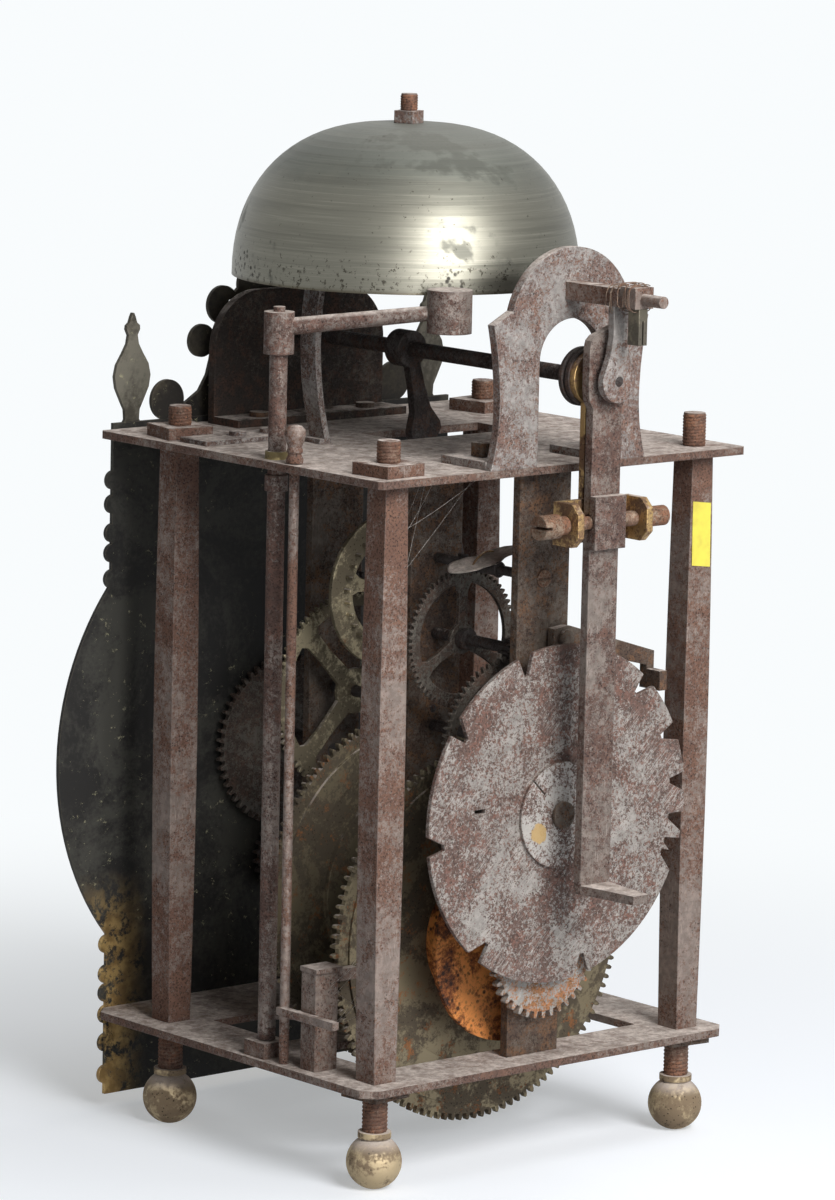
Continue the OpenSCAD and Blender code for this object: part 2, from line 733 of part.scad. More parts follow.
// An arbor between two bars with a pivot at each end
module arbor(z, y0, y1, r, pivot, over0 = 0, over1 = 0) {
    shaft(0, z, y0 + bar_t + end_shake, y1 - bar_t - end_shake, r);
    shaft(0, z, y0 - over0, y1 + over1, pivot);
}

module leaf_pinion(z, y, len, n, m) upright(y + len / 2, len) translate([0, z])
    leaf_teeth(n, m, -90 + 180 / n);

module going_great_arbor() color("dimgray") {
    arbor(going_great_z, front_bar_y0, middle_bar_y, great_arbor_r, great_pivot_r,
        front_bar_y0 - hour_wheel_y + gear_t / 2 + 0.6);
    upright(hour_wheel_y + gear_t / 2, gear_t) translate([0, going_great_z])
        gear_teeth(hour_pinion_teeth, hour_module);
}

module great_wheel(z, y, n, m, ring_r0) {
    upright(y + great_t / 2, great_t) translate([0, z]) difference() {
        wheel_teeth(n, m);
        circle(great_arbor_r);
    }
    upright(y + great_t / 2 + 1.5, 1.5) translate([0, z]) difference() {
        circle(m * n / 2 - 8, $fn = 96);
        circle(ring_r0, $fn = 96);
    }
}

module going_great_wheel() color("saddlebrown") {
    great_wheel(going_great_z, going_great_y, going_great_teeth, going_great_module, 68);
    upright(going_great_y + great_t / 2 + 3, 3) translate([0, going_great_z]) difference() {
        circle(54, $fn = 96);
        circle(great_arbor_r);
    }
}

// A drum for the rope between a great wheel and a flange
module rope_drum(z, y0, y1) upright(y1, y1 - y0) translate([0, z]) difference() {
    circle(drum_r, $fn = 96);
    circle(great_arbor_r);
}

module drum_flange(z, y) upright(y + drum_flange_t / 2, drum_flange_t) translate([0, z]) difference() {
    circle(drum_flange_r, $fn = 96);
    circle(great_arbor_r);
}

module going_drum() color("peru") {
    y1 = going_great_y - great_t / 2;
    y0 = y1 - 24;
    rope_drum(going_great_z, y0, y1);
    drum_flange(going_great_z, y0 - drum_flange_t / 2);
}

module going_second_arbor() color("dimgray") {
    arbor(going_second_z, front_bar_y0, middle_bar_y, arbor_r, pivot_r);
    leaf_pinion(going_second_z, going_great_y, 8, pinion_leaves, going_great_module);
}

module going_second_wheel() color("goldenrod") upright(going_second_y + wheel_t / 2, wheel_t)
    translate([0, going_second_z])
        crossed_wheel(going_second_teeth, going_second_module, 6, 4, 8, 12, arbor_r, 45);

module escape_arbor() color("dimgray") {
    arbor(escape_z, front_bar_y0, middle_bar_y, arbor_r, pivot_r);
    leaf_pinion(escape_z, going_second_y, 8, pinion_leaves, going_second_module);
}

// Escape wheel with a row of pins standing out of its rear face
module escape_wheel() {
    rim_w = 14;
    color("goldenrod") {
        upright(escape_y + wheel_t / 2, wheel_t) translate([0, escape_z]) difference() {
            circle(escape_r, $fn = 96);
            difference() {
                circle(escape_r - rim_w, $fn = 96);
                circle(9);
                for (k = [0:3]) rotate(10 + 90 * k) arm_outline(9, escape_r - rim_w, 6);
            }
            circle(arbor_r);
        }
        for (k = [0:escape_pins - 1]) let (p = polar(pin_ring_r, fork_angle + 360 * (k + 0.5) / escape_pins))
            shaft(p[0], escape_z + p[1], escape_y + wheel_t / 2, escape_y + wheel_t / 2 + pin_len, pin_r);
    }
}

module hour_wheel() color("dimgray") {
    upright(hour_wheel_y + 1.5, 3) translate([0, hour_z]) difference() {
        gear_teeth(hour_wheel_teeth, hour_module, -90 + 180 / hour_wheel_teeth);
        circle(hour_stud_r + running_gap);
    }
    upright(hour_wheel_y - 1.5, hour_wheel_y - 1.5 - hand_y) translate([0, hour_z]) difference() {
        circle(hour_pipe_r);
        circle(hour_stud_r + running_gap);
    }
    upright(hour_wheel_y + 5, 3.5) translate([0, hour_z]) difference() {
        circle(12);
        circle(hour_stud_r + running_gap);
    }
}

module hour_hand() {
    reach = ring_r - ring_w + 8;
    half = [[3, -34], [7, -26], [4, -18], [3, -10], [9, -6], [9, 6], [3.5, 12], [3, 40], [7, 50], [10, 58],
        [7, 66], [3, 72], [2, reach - 8], [0.4, reach]];
    color("darkslategray") upright(hand_y, hand_t) translate([0, hour_z]) rotate(-55) difference() {
        polygon(both_sides(half));
        circle(hour_stud_r + running_gap);
    }
}

module strike_great_arbor() color("dimgray")
    arbor(strike_great_z, middle_bar_y0, rear_bar_y, great_arbor_r, great_pivot_r, 0,
        count_gear_y + gear_t / 2 + 1.5 - rear_bar_y);

module strike_great_wheel() color("saddlebrown")
    great_wheel(strike_great_z, strike_great_y, strike_great_teeth, strike_great_module, 66);

module lifting_pins() color("gray")
    for (k = [0:7]) let (p = polar(strike_great_r - 14, 22.5 + 45 * k))
        shaft(p[0], strike_great_z + p[1], strike_great_y - great_t / 2 - 6, strike_great_y - great_t / 2, 2);

module strike_drum() color("orangered") {
    y0 = strike_great_y + great_t / 2;
    rope_drum(strike_great_z, y0, drum_end_y);
    drum_flange(strike_great_z, drum_end_y + drum_flange_t / 2);
}

module count_pinion() color("darkkhaki") upright(count_gear_y + gear_t / 2, gear_t)
    translate([0, strike_great_z]) difference() {
        gear_teeth(count_pinion_teeth, count_module);
        circle(great_pivot_r);
    }

module strike_second_arbor() color("dimgray") {
    arbor(strike_second_z, middle_bar_y0, rear_bar_y, arbor_r, pivot_r);
    leaf_pinion(strike_second_z, strike_great_y, 8, pinion_leaves, strike_great_module);
}

module strike_second_wheel() color("dimgray") upright(strike_second_y + wheel_t / 2, wheel_t)
    translate([0, strike_second_z])
        crossed_wheel(strike_second_teeth, strike_second_module, 5, 4, 7, 10, arbor_r, 0);

module strike_third_arbor() color("dimgray") {
    arbor(strike_third_z, middle_bar_y0, rear_bar_y, arbor_r, pivot_r);
    leaf_pinion(strike_third_z, strike_second_y, 8, pinion_leaves, strike_second_module);
    shaft(0, strike_third_z, strike_third_y + wheel_t / 2, strike_third_y + wheel_t / 2 + 5, 5.5);
}

module strike_third_wheel() color("dimgray") upright(strike_third_y + wheel_t / 2, wheel_t)
    translate([0, strike_third_z])
        crossed_wheel(strike_third_teeth, strike_third_module, 5, 3, 5, 8, arbor_r, 90);

module fly_arbor() color("dimgray") {
    arbor(fly_z, middle_bar_y0, rear_bar_y, arbor_r - 0.5, pivot_r, 0, -1.5);
    leaf_pinion(fly_z, strike_third_y, 7, fly_leaves, strike_third_module);
}

// Two-winged air brake on a sleeve
module fly() {
    wing = 23;
    len = 24;
    y1 = strike_third_y + 5 + len;
    color("gray") {
        upright(y1, len) translate([0, fly_z]) difference() {
            circle(4.6);
            circle(arbor_r - 0.5);
        }
        for (sx = [-1, 1]) upright(y1, len) translate([0, fly_z]) rotate(sx < 0 ? 180 : 0)
            polygon([[4, 0.6], [12, 1.6], [wing, 0.6], [wing, -0.6], [12, 0.2], [4, -0.9]]);
    }
}

module count_gear() color("dimgray") upright(count_gear_y + gear_t / 2, gear_t)
    translate([0, count_z]) difference() {
        gear_teeth(count_gear_teeth, count_module, -90 + 180 / count_gear_teeth);
        circle(count_stud_r + running_gap);
    }

// Each hour's stretch is as long as its blows, so the notches close up from twelve down to one
count_hours = 12;
count_blows = count_hours * (count_hours + 1) / 2;
notch_start = 201.7;
function notch_angle(hour) = notch_start - 360 / count_blows * hour * (hour + 1) / 2;

// Count wheel: a plain disc with saw-shaped notches, and a slit centre plate riveted on
module count_wheel() {
    deep = count_r - notch_depth;
    out = count_r + 3;
    color("lightslategray") {
        upright(count_wheel_y, count_wheel_t) translate([0, count_z]) difference() {
            circle(count_r, $fn = 144);
            for (hour = [1:count_hours]) rotate(notch_angle(hour))
                polygon([polar(out, -2.6), polar(deep, -1.6), polar(deep, 0.4), polar(out, 5.4)]);
            circle(count_stud_r + running_gap);
            translate([53, 7]) square([7, 2.2], center = true);
        }
        upright(count_wheel_y + 2, 2) translate([0, count_z]) difference() {
            circle(27);
            circle(count_stud_r + running_gap);
            rotate(-45) translate([-0.5, 16]) square([1, 14]);
        }
        upright(count_wheel_y - count_wheel_t, count_wheel_y - count_wheel_t - count_gear_y - gear_t / 2)
            translate([0, count_z]) difference() {
                circle(count_hub_r);
                circle(count_stud_r + running_gap);
            }
    }
}

// Pallet arbor with its hub, the leaning stem and the fork astride the pins
module pallet_arbor() {
    stem_y = pallet_hub_y + 6;
    lean = atan2(fork_x, pallet_z - fork_z);
    nib = 2.2;
    color("dimgray") {
        shaft(0, pallet_z, front_cock_y + end_shake, hanger_y - hanger_t - end_shake, pallet_r);
        shaft(0, pallet_z, front_cock_y - cock_t + 1, hanger_y, pallet_pivot_r);
        shaft(0, pallet_z, pallet_hub_y - 5, pallet_hub_y + 6, 9.5);
        upright(stem_y, 5) translate([0, pallet_z]) rotate(lean) {
            polygon(both_sides([[4, -fork_reach + 12], [4, -52], [10, -45.5], [10, -42], [5.5, -33], [4, -20],
                [3.5, 0]]));
            translate([-fork_half_gap - 2 * nib, -fork_reach - 4]) square([2 * nib, 22]);
            translate([fork_half_gap, -fork_reach - 4]) square([2 * nib, 22]);
            translate([-fork_half_gap - 2 * nib, -fork_reach + 12]) square([2 * fork_half_gap + 4 * nib, 6]);
        }
        for (s = [-1, 1]) upright(stem_y - 5, 6.5) translate([0, pallet_z]) rotate(lean)
            translate([s > 0 ? fork_half_gap : -fork_half_gap - 2 * nib, -fork_reach - 4]) square([2 * nib, 8]);
        shaft(0, pallet_z, rear_cock_y + 7, rear_cock_y + 9.4, 14.8);
        shaft(0, pallet_z, rear_cock_y + 11, rear_cock_y + 13.7, 14.2);
        shaft(0, pallet_z, rear_cock_y + 3, rear_cock_y + 13, 6);
    }
}

// Inner arm and the forked yoke that holds the beat screw at both sides of the crutch
module beat_yoke() {
    arm_y = rear_cock_y + 17.2;
    base_y = arm_y + 3;
    ear_len = 17.6;
    half_h = 10.8;
    lap = 1;
    color("goldenrod") difference() {
        union() {
            upright(arm_y, 3.5) difference() {
                union() {
                    translate([0, pallet_z]) circle(13.2);
                    translate([-5.5, beat_z - half_h]) square([11, beat_drop + half_h]);
                }
                translate([0, pallet_z]) circle(pallet_r);
            }
            upright(base_y, 3) translate([-yoke_x - yoke_t, beat_z - half_h])
                square([2 * (yoke_x + yoke_t), 2 * half_h]);
            upright(arm_y + lap, 2 * lap) translate([-5.5, beat_z - half_h]) square([11, 2 * half_h]);
            for (s = [-1, 1]) translate([s * (yoke_x + yoke_t / 2), base_y, beat_z]) rotate([0, 90, 0])
                linear_extrude(yoke_t, center = true)
                    polygon([[-half_h, -3], [half_h, -3], [half_h, ear_len - 7], [half_h - 5, ear_len - 2],
                        [-half_h + 5, ear_len - 2], [-half_h, ear_len - 7]]);
        }
        shaft(0, pallet_z, arm_y - 5, arm_y + 5, pallet_r);
        translate([0, beat_y, beat_z]) rotate([0, 90, 0])
            cylinder(h = 100, r = beat_screw_d / 2 + running_gap, center = true);
    }
}

// Crutch: leaf-shaped eye, arm, a plate over the boss for the beat screw, and a foot bent to the rear
module crutch_arm() {
    y0 = crutch_y - crutch_t;
    foot_z0 = pallet_z - crutch_drop;
    top_w = crutch_w * 0.98;
    plate_w = 20.4;
    plate_h = 26.6;
    boss_w = 15;
    boss_h = 14;
    boss_y0 = beat_y - 5.3;
    plate_y = beat_y + 5.5;
    color("rosybrown") difference() {
        union() {
            upright(crutch_y, crutch_t) translate([0, pallet_z]) polygon([[-crutch_w / 2, -crutch_drop],
                [crutch_w / 2, -crutch_drop], [top_w / 2, -14], [12, -10], [12.8, -3], [12.6, 16], [11.6, 20],
                [9, 22.4], [-5, 27.4], [-9.5, 26], [-12.2, 20], [-12.8, 8], [-12.8, -3], [-12, -10],
                [-top_w / 2, -14]]);
            translate([-boss_w / 2, boss_y0, beat_z - boss_h / 2]) cube([boss_w, plate_y - boss_y0, boss_h]);
            translate([-plate_w / 2, crutch_y, beat_z - plate_h / 2])
                cube([plate_w, plate_y - crutch_y, plate_h]);
            translate([0, crutch_y, foot_z0]) linear_extrude(4.5)
                polygon([[-crutch_w / 2, -1], [crutch_w / 2, -1], [crutch_w / 2 - 2, 10], [5, 34], [-5, 34],
                    [-crutch_w / 2 + 2, 10]]);
        }
        shaft(0, pallet_z, y0 - 1, crutch_y + 1, pallet_r + running_gap);
        translate([0, beat_y, beat_z]) rotate([0, 90, 0])
            cylinder(h = plate_w + 2, r = beat_screw_d / 2 + 0.6, center = true);
    }
}

module beat_screw() {
    r = beat_screw_d / 2;
    head = yoke_x + yoke_t + end_shake;
    color("gray") translate([0, beat_y, beat_z]) rotate([0, 90, 0]) difference() {
        union() {
            cylinder(h = 2 * head + 20, r = r, center = true);
            translate([0, 0, head]) cylinder(h = 5.5, r = r + 1.2);
            translate([0, 0, head + 5.5]) cylinder(h = 12, r = r + 2.6);
            translate([0, 0, -head - 15]) cylinder(h = 15, r = r + 1.6);
        }
        translate([-0.8, -10, head + 13.5]) cube([1.6, 20, 10]);
    }
}

// Hammer: arbor, hub, rising arm, head and the tail that the pins lift
module hammer() {
    rise = head_z - (hammer_hub_z + 13);
    run = norm([head_x - hammer_x, head_y - hammer_y]);
    turn = atan2(head_y - hammer_y, head_x - hammer_x);
    tail_turn = 137;
    tail_len = 33;
    color("rosybrown") translate([hammer_x, hammer_y, 0]) {
        translate([0, 0, floor_z + 2 + end_shake]) cylinder(h = 6, r = 2.5);
        translate([0, 0, floor_z + 8 + end_shake]) cylinder(h = hammer_hub_z - floor_z - 8, r = hammer_r);
        translate([0, 0, hammer_hub_z]) cylinder(h = hammer_hub_h, r = 7.6);
        translate([0, 0, hammer_hub_z + hammer_hub_h]) cylinder(h = 2.5, r = 3);
        translate([0, 0, roof_z - 12]) cylinder(h = 8, r = hammer_r + 1.4);
        translate([0, 0, hammer_hub_z + 13]) rotate([0, 90 - atan2(rise, run), turn])
            cylinder(h = norm([rise, run]), r1 = 4.4, r2 = 3.7);
        translate([head_x - hammer_x, head_y - hammer_y, head_z - hammer_head_h / 2])
            cylinder(h = hammer_head_h, d = hammer_head_d);
        rotate(tail_turn) translate([0, 0, floor_z + 19]) linear_extrude(4)
            polygon([[0, -3], [tail_len, -2], [tail_len, 2], [0, 3]]);
    }
}

// Thin rod with a turned knob above the deck and a tail below
module release_rod() color("rosybrown") translate([rod_x, rod_y, 0]) {
    translate([0, 0, foot_z]) cylinder(h = deck_z + 1 - foot_z, r = rod_r);
    translate([0, 0, deck_z + 0.4]) rotate_extrude() polygon([[0, 0], [4.2, 0], [4.4, 2], [3.2, 4.4], [4, 5.4],
        [4, 6.6], [3.4, 8], [4.6, 11], [5.4, 14], [5.2, 16.5], [3.4, 18.5], [0, 19.2]]);
    translate([0.5, -1, floor_z + 25.5]) cube([4, 44, 4]);
}

// Detent whose finger rests just clear of the count wheel's rim
module count_detent() {
    tip_r = count_r + 0.5;
    finger_x = tip_r * cos(finger_angle);
    finger_z = count_z + sqrt(pow(tip_r, 2) - pow(finger_x + finger_w / 2, 2));
    bar_h = 8;
    top_z = finger_z + 15;
    color("rosybrown") difference() {
        union() {
            upright(detent_y + detent_t, detent_t) polygon([[detent_x + 7, detent_z - 5],
                [detent_x + 7, detent_z + 5], [detent_x - 3, detent_z + 6],
                [finger_x - finger_w / 2, top_z + bar_h / 2],
                [finger_x - finger_w / 2, finger_z], [finger_x + finger_w / 2, finger_z],
                [finger_x + finger_w / 2, top_z - bar_h / 2 + 1], [detent_x - 3, detent_z - 6]]);
            translate([finger_x - finger_w / 2, detent_y, finger_z])
                cube([finger_w, count_wheel_y + 1 - detent_y, 10]);
        }
        shaft(detent_x, detent_z, detent_y - 1, detent_y + detent_t + 1, detent_stud_r + running_gap);
    }
}

at_origin() bottom_plate();
at_origin() top_plate();
at_origin() front_right_column();
at_origin() rear_right_column();
at_origin() front_left_column();
at_origin() rear_left_column();
at_origin() column_nuts();
at_origin() foot_washers();
at_origin() ball_feet();
at_origin() front_bar();
at_origin() middle_bar();
at_origin() rear_bar();
at_origin() fly_bush();
at_origin() dial_plate();
at_origin() dial_crest();
at_origin() dial_finials();
at_origin() hour_ring();
at_origin() hour_stud();
at_origin() front_cock();
at_origin() rear_cock();
at_origin() cock_bolts();
at_origin() pallet_hanger();
at_origin() suspension_bracket();
at_origin() suspension_block();
at_origin() bell_stand();
at_origin() bell();
at_origin() bell_nut();
at_origin() hammer_step();
at_origin() hammer_bush();
at_origin() lower_bracket();
at_origin() bar_studs();
at_origin() going_great_arbor();
at_origin() going_great_wheel();
at_origin() going_drum();
at_origin() going_second_arbor();
at_origin() going_second_wheel();
at_origin() escape_arbor();
at_origin() escape_wheel();
at_origin() hour_wheel();
at_origin() hour_hand();
at_origin() strike_great_arbor();
at_origin() strike_great_wheel();
at_origin() lifting_pins();
at_origin() strike_drum();
at_origin() count_pinion();
at_origin() strike_second_arbor();
at_origin() strike_second_wheel();
at_origin() strike_third_arbor();
at_origin() strike_third_wheel();
at_origin() fly_arbor();
at_origin() fly();
at_origin() count_gear();
at_origin() count_wheel();
at_origin() pallet_arbor();
at_origin() beat_yoke();
at_origin() crutch_arm();
at_origin() beat_screw();
at_origin() hammer();
at_origin() release_rod();
at_origin() count_detent();
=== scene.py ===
# %% [markdown]
# ## An old iron column clock
# The clock is a cage of four square posts between two plates, with its wheels hung on three
# upright bars, a bell on top and a dial plate in front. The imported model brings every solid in
# its true place, so this notebook adds what a solid can't have: rust, dust, brass, threads,
# numerals and wire. Everything is in metres, in the model's own frame.

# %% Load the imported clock
import math

import bmesh
import bpy
import numpy as np
from mathutils import Matrix, Vector


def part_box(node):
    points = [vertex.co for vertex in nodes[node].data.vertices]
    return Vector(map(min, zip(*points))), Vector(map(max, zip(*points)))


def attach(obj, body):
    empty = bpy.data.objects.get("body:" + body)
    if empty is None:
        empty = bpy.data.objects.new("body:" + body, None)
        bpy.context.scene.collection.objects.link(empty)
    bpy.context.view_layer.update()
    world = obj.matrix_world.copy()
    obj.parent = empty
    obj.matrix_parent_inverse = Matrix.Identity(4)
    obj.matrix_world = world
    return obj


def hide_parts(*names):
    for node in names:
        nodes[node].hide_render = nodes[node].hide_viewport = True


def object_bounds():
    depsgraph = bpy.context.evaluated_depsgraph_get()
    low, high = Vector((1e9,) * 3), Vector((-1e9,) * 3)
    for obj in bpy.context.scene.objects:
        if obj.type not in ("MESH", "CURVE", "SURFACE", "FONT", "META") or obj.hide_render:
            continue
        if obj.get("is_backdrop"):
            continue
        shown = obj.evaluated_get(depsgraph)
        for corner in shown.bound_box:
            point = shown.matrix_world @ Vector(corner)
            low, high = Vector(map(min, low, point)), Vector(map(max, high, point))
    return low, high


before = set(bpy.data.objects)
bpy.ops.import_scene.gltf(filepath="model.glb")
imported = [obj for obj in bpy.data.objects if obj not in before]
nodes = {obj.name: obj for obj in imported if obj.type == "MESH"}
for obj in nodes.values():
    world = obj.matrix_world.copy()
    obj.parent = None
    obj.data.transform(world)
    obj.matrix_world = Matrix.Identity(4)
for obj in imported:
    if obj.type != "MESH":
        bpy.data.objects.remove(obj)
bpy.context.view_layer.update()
mm = 0.001

# %% [markdown]
# ## The camera
# The photograph was taken from behind the clock's right side, a little above it, with a long
# lens. The camera stands on a line from the middle of the clock, given by an angle round it and
# an angle above the table, and is tipped by the small roll that a hand-set tripod leaves.

# %% Camera at the photograph's angle
VIEW_TURN = math.radians(40.84)     # from +Y towards +X
VIEW_RISE = math.radians(9.17)
VIEW_ROLL = math.radians(1.25)
VIEW_DISTANCE = 3.025
FOCAL_SHARE = 5903 / 1200           # focal length in picture heights
SENSOR = 36.0

COLUMNS_Y = -16.65 * mm             # where the middle of the columns lies
AIM_HEIGHT = 276.1 * mm
AIM_LEFT = 8.3 * mm                 # how far left of the columns' middle the camera looks

back = Vector((math.sin(VIEW_TURN) * math.cos(VIEW_RISE), math.cos(VIEW_TURN) * math.cos(VIEW_RISE),
               math.sin(VIEW_RISE)))
right = back.cross(Vector((0, 0, -1))).normalized()
up = back.cross(right)
tilted_right = right * math.cos(VIEW_ROLL) + up * math.sin(VIEW_ROLL)
tilted_up = up * math.cos(VIEW_ROLL) - right * math.sin(VIEW_ROLL)
target = Vector((0, COLUMNS_Y, AIM_HEIGHT)) - right * AIM_LEFT

camera = bpy.data.objects.new("view_camera", bpy.data.cameras.new("view_camera"))
bpy.context.scene.collection.objects.link(camera)
camera.data.sensor_fit = "VERTICAL"
camera.data.sensor_width = camera.data.sensor_height = SENSOR
camera.data.lens = FOCAL_SHARE * SENSOR
place = target + back * VIEW_DISTANCE
turned = Matrix((tilted_right, tilted_up, back)).transposed().to_4x4()
camera.matrix_world = Matrix.Translation(place) @ turned
camera.data.clip_start, camera.data.clip_end = 0.1, 50
bpy.context.scene.camera = camera
print("camera at", [round(v, 3) for v in place], "looking at", [round(v, 3) for v in target])

# %% [markdown]
# ## Shader maths as plain expressions
# A finish is worked out from masks: where is it rusty, where rubbed bare, where does dust lie?
# Such sums read best as Python, so one small class wraps a socket and turns each operator into a
# Math node. A second class holds one material and makes any other node with a single method.


# %% Sockets that can be added and multiplied
class Sock:
    """A shader socket with operators: each one adds a Math node to the same material."""

    def __init__(self, paint, socket):
        self.paint, self.socket = paint, socket

    def math(self, operation, *values):
        return self.paint.node("ShaderNodeMath", {"operation": operation}, *values)

    def __add__(self, other):
        return self.math("ADD", self, other)

    def __sub__(self, other):
        return self.math("SUBTRACT", self, other)

    def __rsub__(self, other):
        return self.math("SUBTRACT", other, self)

    def __mul__(self, other):
        return self.math("MULTIPLY", self, other)

    def __or__(self, other):
        return self.math("MAXIMUM", self, other)

    def __and__(self, other):
        return self.math("MINIMUM", self, other)

    def fade(self, low, high):
        """0 below low and 1 above high, with a smooth step between."""
        smooth_step = {"interpolation_type": "SMOOTHSTEP"}
        return self.paint.node("ShaderNodeMapRange", smooth_step, self, low, high)

    __radd__ = __add__


# %% One material and its nodes
DULL = 0.22                         # specular level of dusty old metal; a fresh surface has 0.5


class Paint:
    """One material, built node by node round a Principled shader."""

    def __init__(self, name):
        self.material = bpy.data.materials.new(name)
        self.material.use_nodes = True
        self.tree = self.material.node_tree
        self.tree.nodes.clear()
        self.place = self.node("ShaderNodeTexCoord", out="Object")

    def node(self, kind, settings=None, *values, out=0, **named):
        """A node of a kind, with its settings made first and then its inputs, by order or by name."""
        made = self.tree.nodes.new(kind)
        for key, value in (settings or {}).items():
            setattr(made, key, value)
        wanted = list(enumerate(values))
        wanted += [(key.replace("_", " "), value) for key, value in named.items()]
        for key, value in wanted:
            if isinstance(value, Sock):
                self.tree.links.new(value.socket, made.inputs[key])
            elif value is not None:
                made.inputs[key].default_value = value
        return Sock(self, made.outputs[out])

    def noise(self, scale, detail=5.0, rough=0.55, stretch=None, warp=0.0, turn=0.0):
        """Cloudy values round a half; stretch below 1 draws the clouds out along that axis."""
        vector = self.place
        if turn:
            vector = self.node("ShaderNodeVectorRotate", {"rotation_type": "Y_AXIS"}, vector,
                               Angle=math.radians(turn))
        if stretch:
            vector = self.node("ShaderNodeVectorMath", {"operation": "MULTIPLY"}, vector, stretch)
        return self.node("ShaderNodeTexNoise", None, vector, Scale=scale, Detail=detail,
                         Roughness=rough, Distortion=warp)

    def specks(self, scale, size):
        """1 inside round specks: the near part of each Voronoi cell."""
        cells = self.node("ShaderNodeTexVoronoi", None, self.place, Scale=scale, Randomness=1.0)
        return 1 - cells.fade(size * 0.5, size)

    def mix(self, share, a, b):
        """From colour a to colour b by a share."""
        mixed = self.tree.nodes.new("ShaderNodeMix")
        mixed.data_type = "RGBA"
        for slot, value in ((0, share), (6, a), (7, b)):
            if isinstance(value, Sock):
                self.tree.links.new(value.socket, mixed.inputs[slot])
            else:
                mixed.inputs[slot].default_value = (*value, 1.0) if slot else value
        return Sock(self, mixed.outputs[2])

    def upward(self):
        """1 on faces that look up, where dust lies."""
        normal = self.node("ShaderNodeTexCoord", out="Normal")
        return self.node("ShaderNodeSeparateXYZ", None, normal, out="Z")

    def height(self, axis="Z"):
        """How far along an axis a point lies, in metres."""
        return self.node("ShaderNodeSeparateXYZ", None, self.place, out=axis)

    def edges(self, reach):
        """1 near a sharp edge, where the rounded normal leaves the true one, and the rounded normal."""
        soft = self.node("ShaderNodeBevel", {"samples": 4}, reach)
        true = self.node("ShaderNodeNewGeometry", out="True Normal")
        agree = self.node("ShaderNodeVectorMath", {"operation": "DOT_PRODUCT"}, soft, true, out="Value")
        return (1 - agree).fade(0.02, 0.16), soft

    def finish(self, colour, roughness, metallic, relief, strength=0.4, depth=0.0006, soft=None):
        """Joins the maps to a Principled shader and returns the material."""
        bump = self.node("ShaderNodeBump", None, Strength=strength, Distance=depth, Height=relief,
                         Normal=soft)
        shader = self.node("ShaderNodeBsdfPrincipled", None, Base_Color=colour, Roughness=roughness,
                           Metallic=metallic, Normal=bump, Specular_IOR_Level=DULL)
        self.output(shader)
        return self.material

    def output(self, shader):
        end = self.tree.nodes.new("ShaderNodeOutputMaterial")
        self.tree.links.new(shader.socket, end.inputs["Surface"])


# %% [markdown]
# ## Wrought iron
# Old forged iron is never one brown. Rust eats it grain by grain, so its edge against bare metal
# is ragged down to a tenth of a millimetre, yet how much rust there is changes slowly over the
# piece. Both come from one sum: a fine noise is cut at a level that a broad noise raises and
# lowers. Two rusts, long scratches, rubbed edges and dust on what looks up then go over it.


# %% Iron with ragged rust, rubbed edges and dust
DUST = (0.690, 0.610, 0.555)
DUST_LOW = (0.40, 0.335, 0.295)
BLACK = (0.012, 0.009, 0.008)
GRAIN = (1, 1, 0.12)                # scratches run up the piece


def iron(name, bare_tone, rust_tone, red_tone, rusty, dusty, worn):
    """Iron from the bare metal, its dark rust and its red rust; the shares run from 0 to 1."""
    p = Paint(name)
    mottle = p.noise(430, 4, 0.62)
    fine = p.noise(1300, 3, 0.6)
    patch = p.noise(58, 5, 0.62, warp=0.4)
    slow = p.noise(9, 2)
    level = (patch - 0.5) * 0.7 + (slow - 0.5) * 0.8 + (rusty - 0.5) * 0.4
    rust = (mottle * 0.7 + 0.15 + (fine - 0.5) * 0.7 + level).fade(0.37, 0.63)
    kind = (p.noise(110, 6, 0.7) + (fine - 0.5) * 0.3).fade(0.46, 0.62)
    tone = p.mix(kind, rust_tone, red_tone)
    tone = p.mix(p.noise(800, 3, 0.6).fade(0.50, 0.63) * 0.7, tone, tuple(0.25 * c for c in rust_tone))
    bare = p.mix(p.noise(180, 6, 0.7).fade(0.38, 0.64), tuple(0.68 * c for c in bare_tone), bare_tone)
    lines = p.noise(1500, 2, 0.5, stretch=GRAIN).fade(0.56, 0.70) * p.noise(52, 3).fade(0.42, 0.6)
    bare = p.mix(lines * 0.6, bare, tuple(min(0.72, 1.6 * c) for c in bare_tone))
    edge, soft = p.edges(1.0 * mm)
    rubbed = edge * p.noise(160, 5).fade(0.36, 0.56) * worn
    rust = rust * (1 - rubbed) & 1.0
    colour = p.mix(rust, bare, tone)
    pit = p.specks(560, 0.30) * patch.fade(0.46, 0.60)
    colour = p.mix(pit * 0.8, colour, BLACK)
    level = p.upward().fade(0.5, 0.95)
    lies = p.noise(60, 8, 0.75).fade(0.66 - 0.46 * dusty, 0.76 - 0.34 * dusty)
    crumb = p.noise(120, 8, 0.70).fade(0.36, 0.60) * 0.6 + 0.4
    dust = level * lies * crumb & 1.0
    dust_tone = p.mix(p.noise(230, 7, 0.74, warp=0.5).fade(0.38, 0.62), DUST_LOW, DUST)
    colour = p.mix(dust, colour, dust_tone)
    metallic = (1 - rust) * (1 - dust) * 0.25
    roughness = 0.56 + rust * 0.26 + dust * 0.2 - rubbed * 0.12
    relief = mottle * 0.5 + fine * 0.6 + rust * 0.4 - pit * 0.7 + dust * p.noise(900, 4) * 0.5
    return p.finish(colour, roughness, metallic, relief, strength=0.5, depth=0.0005, soft=soft)


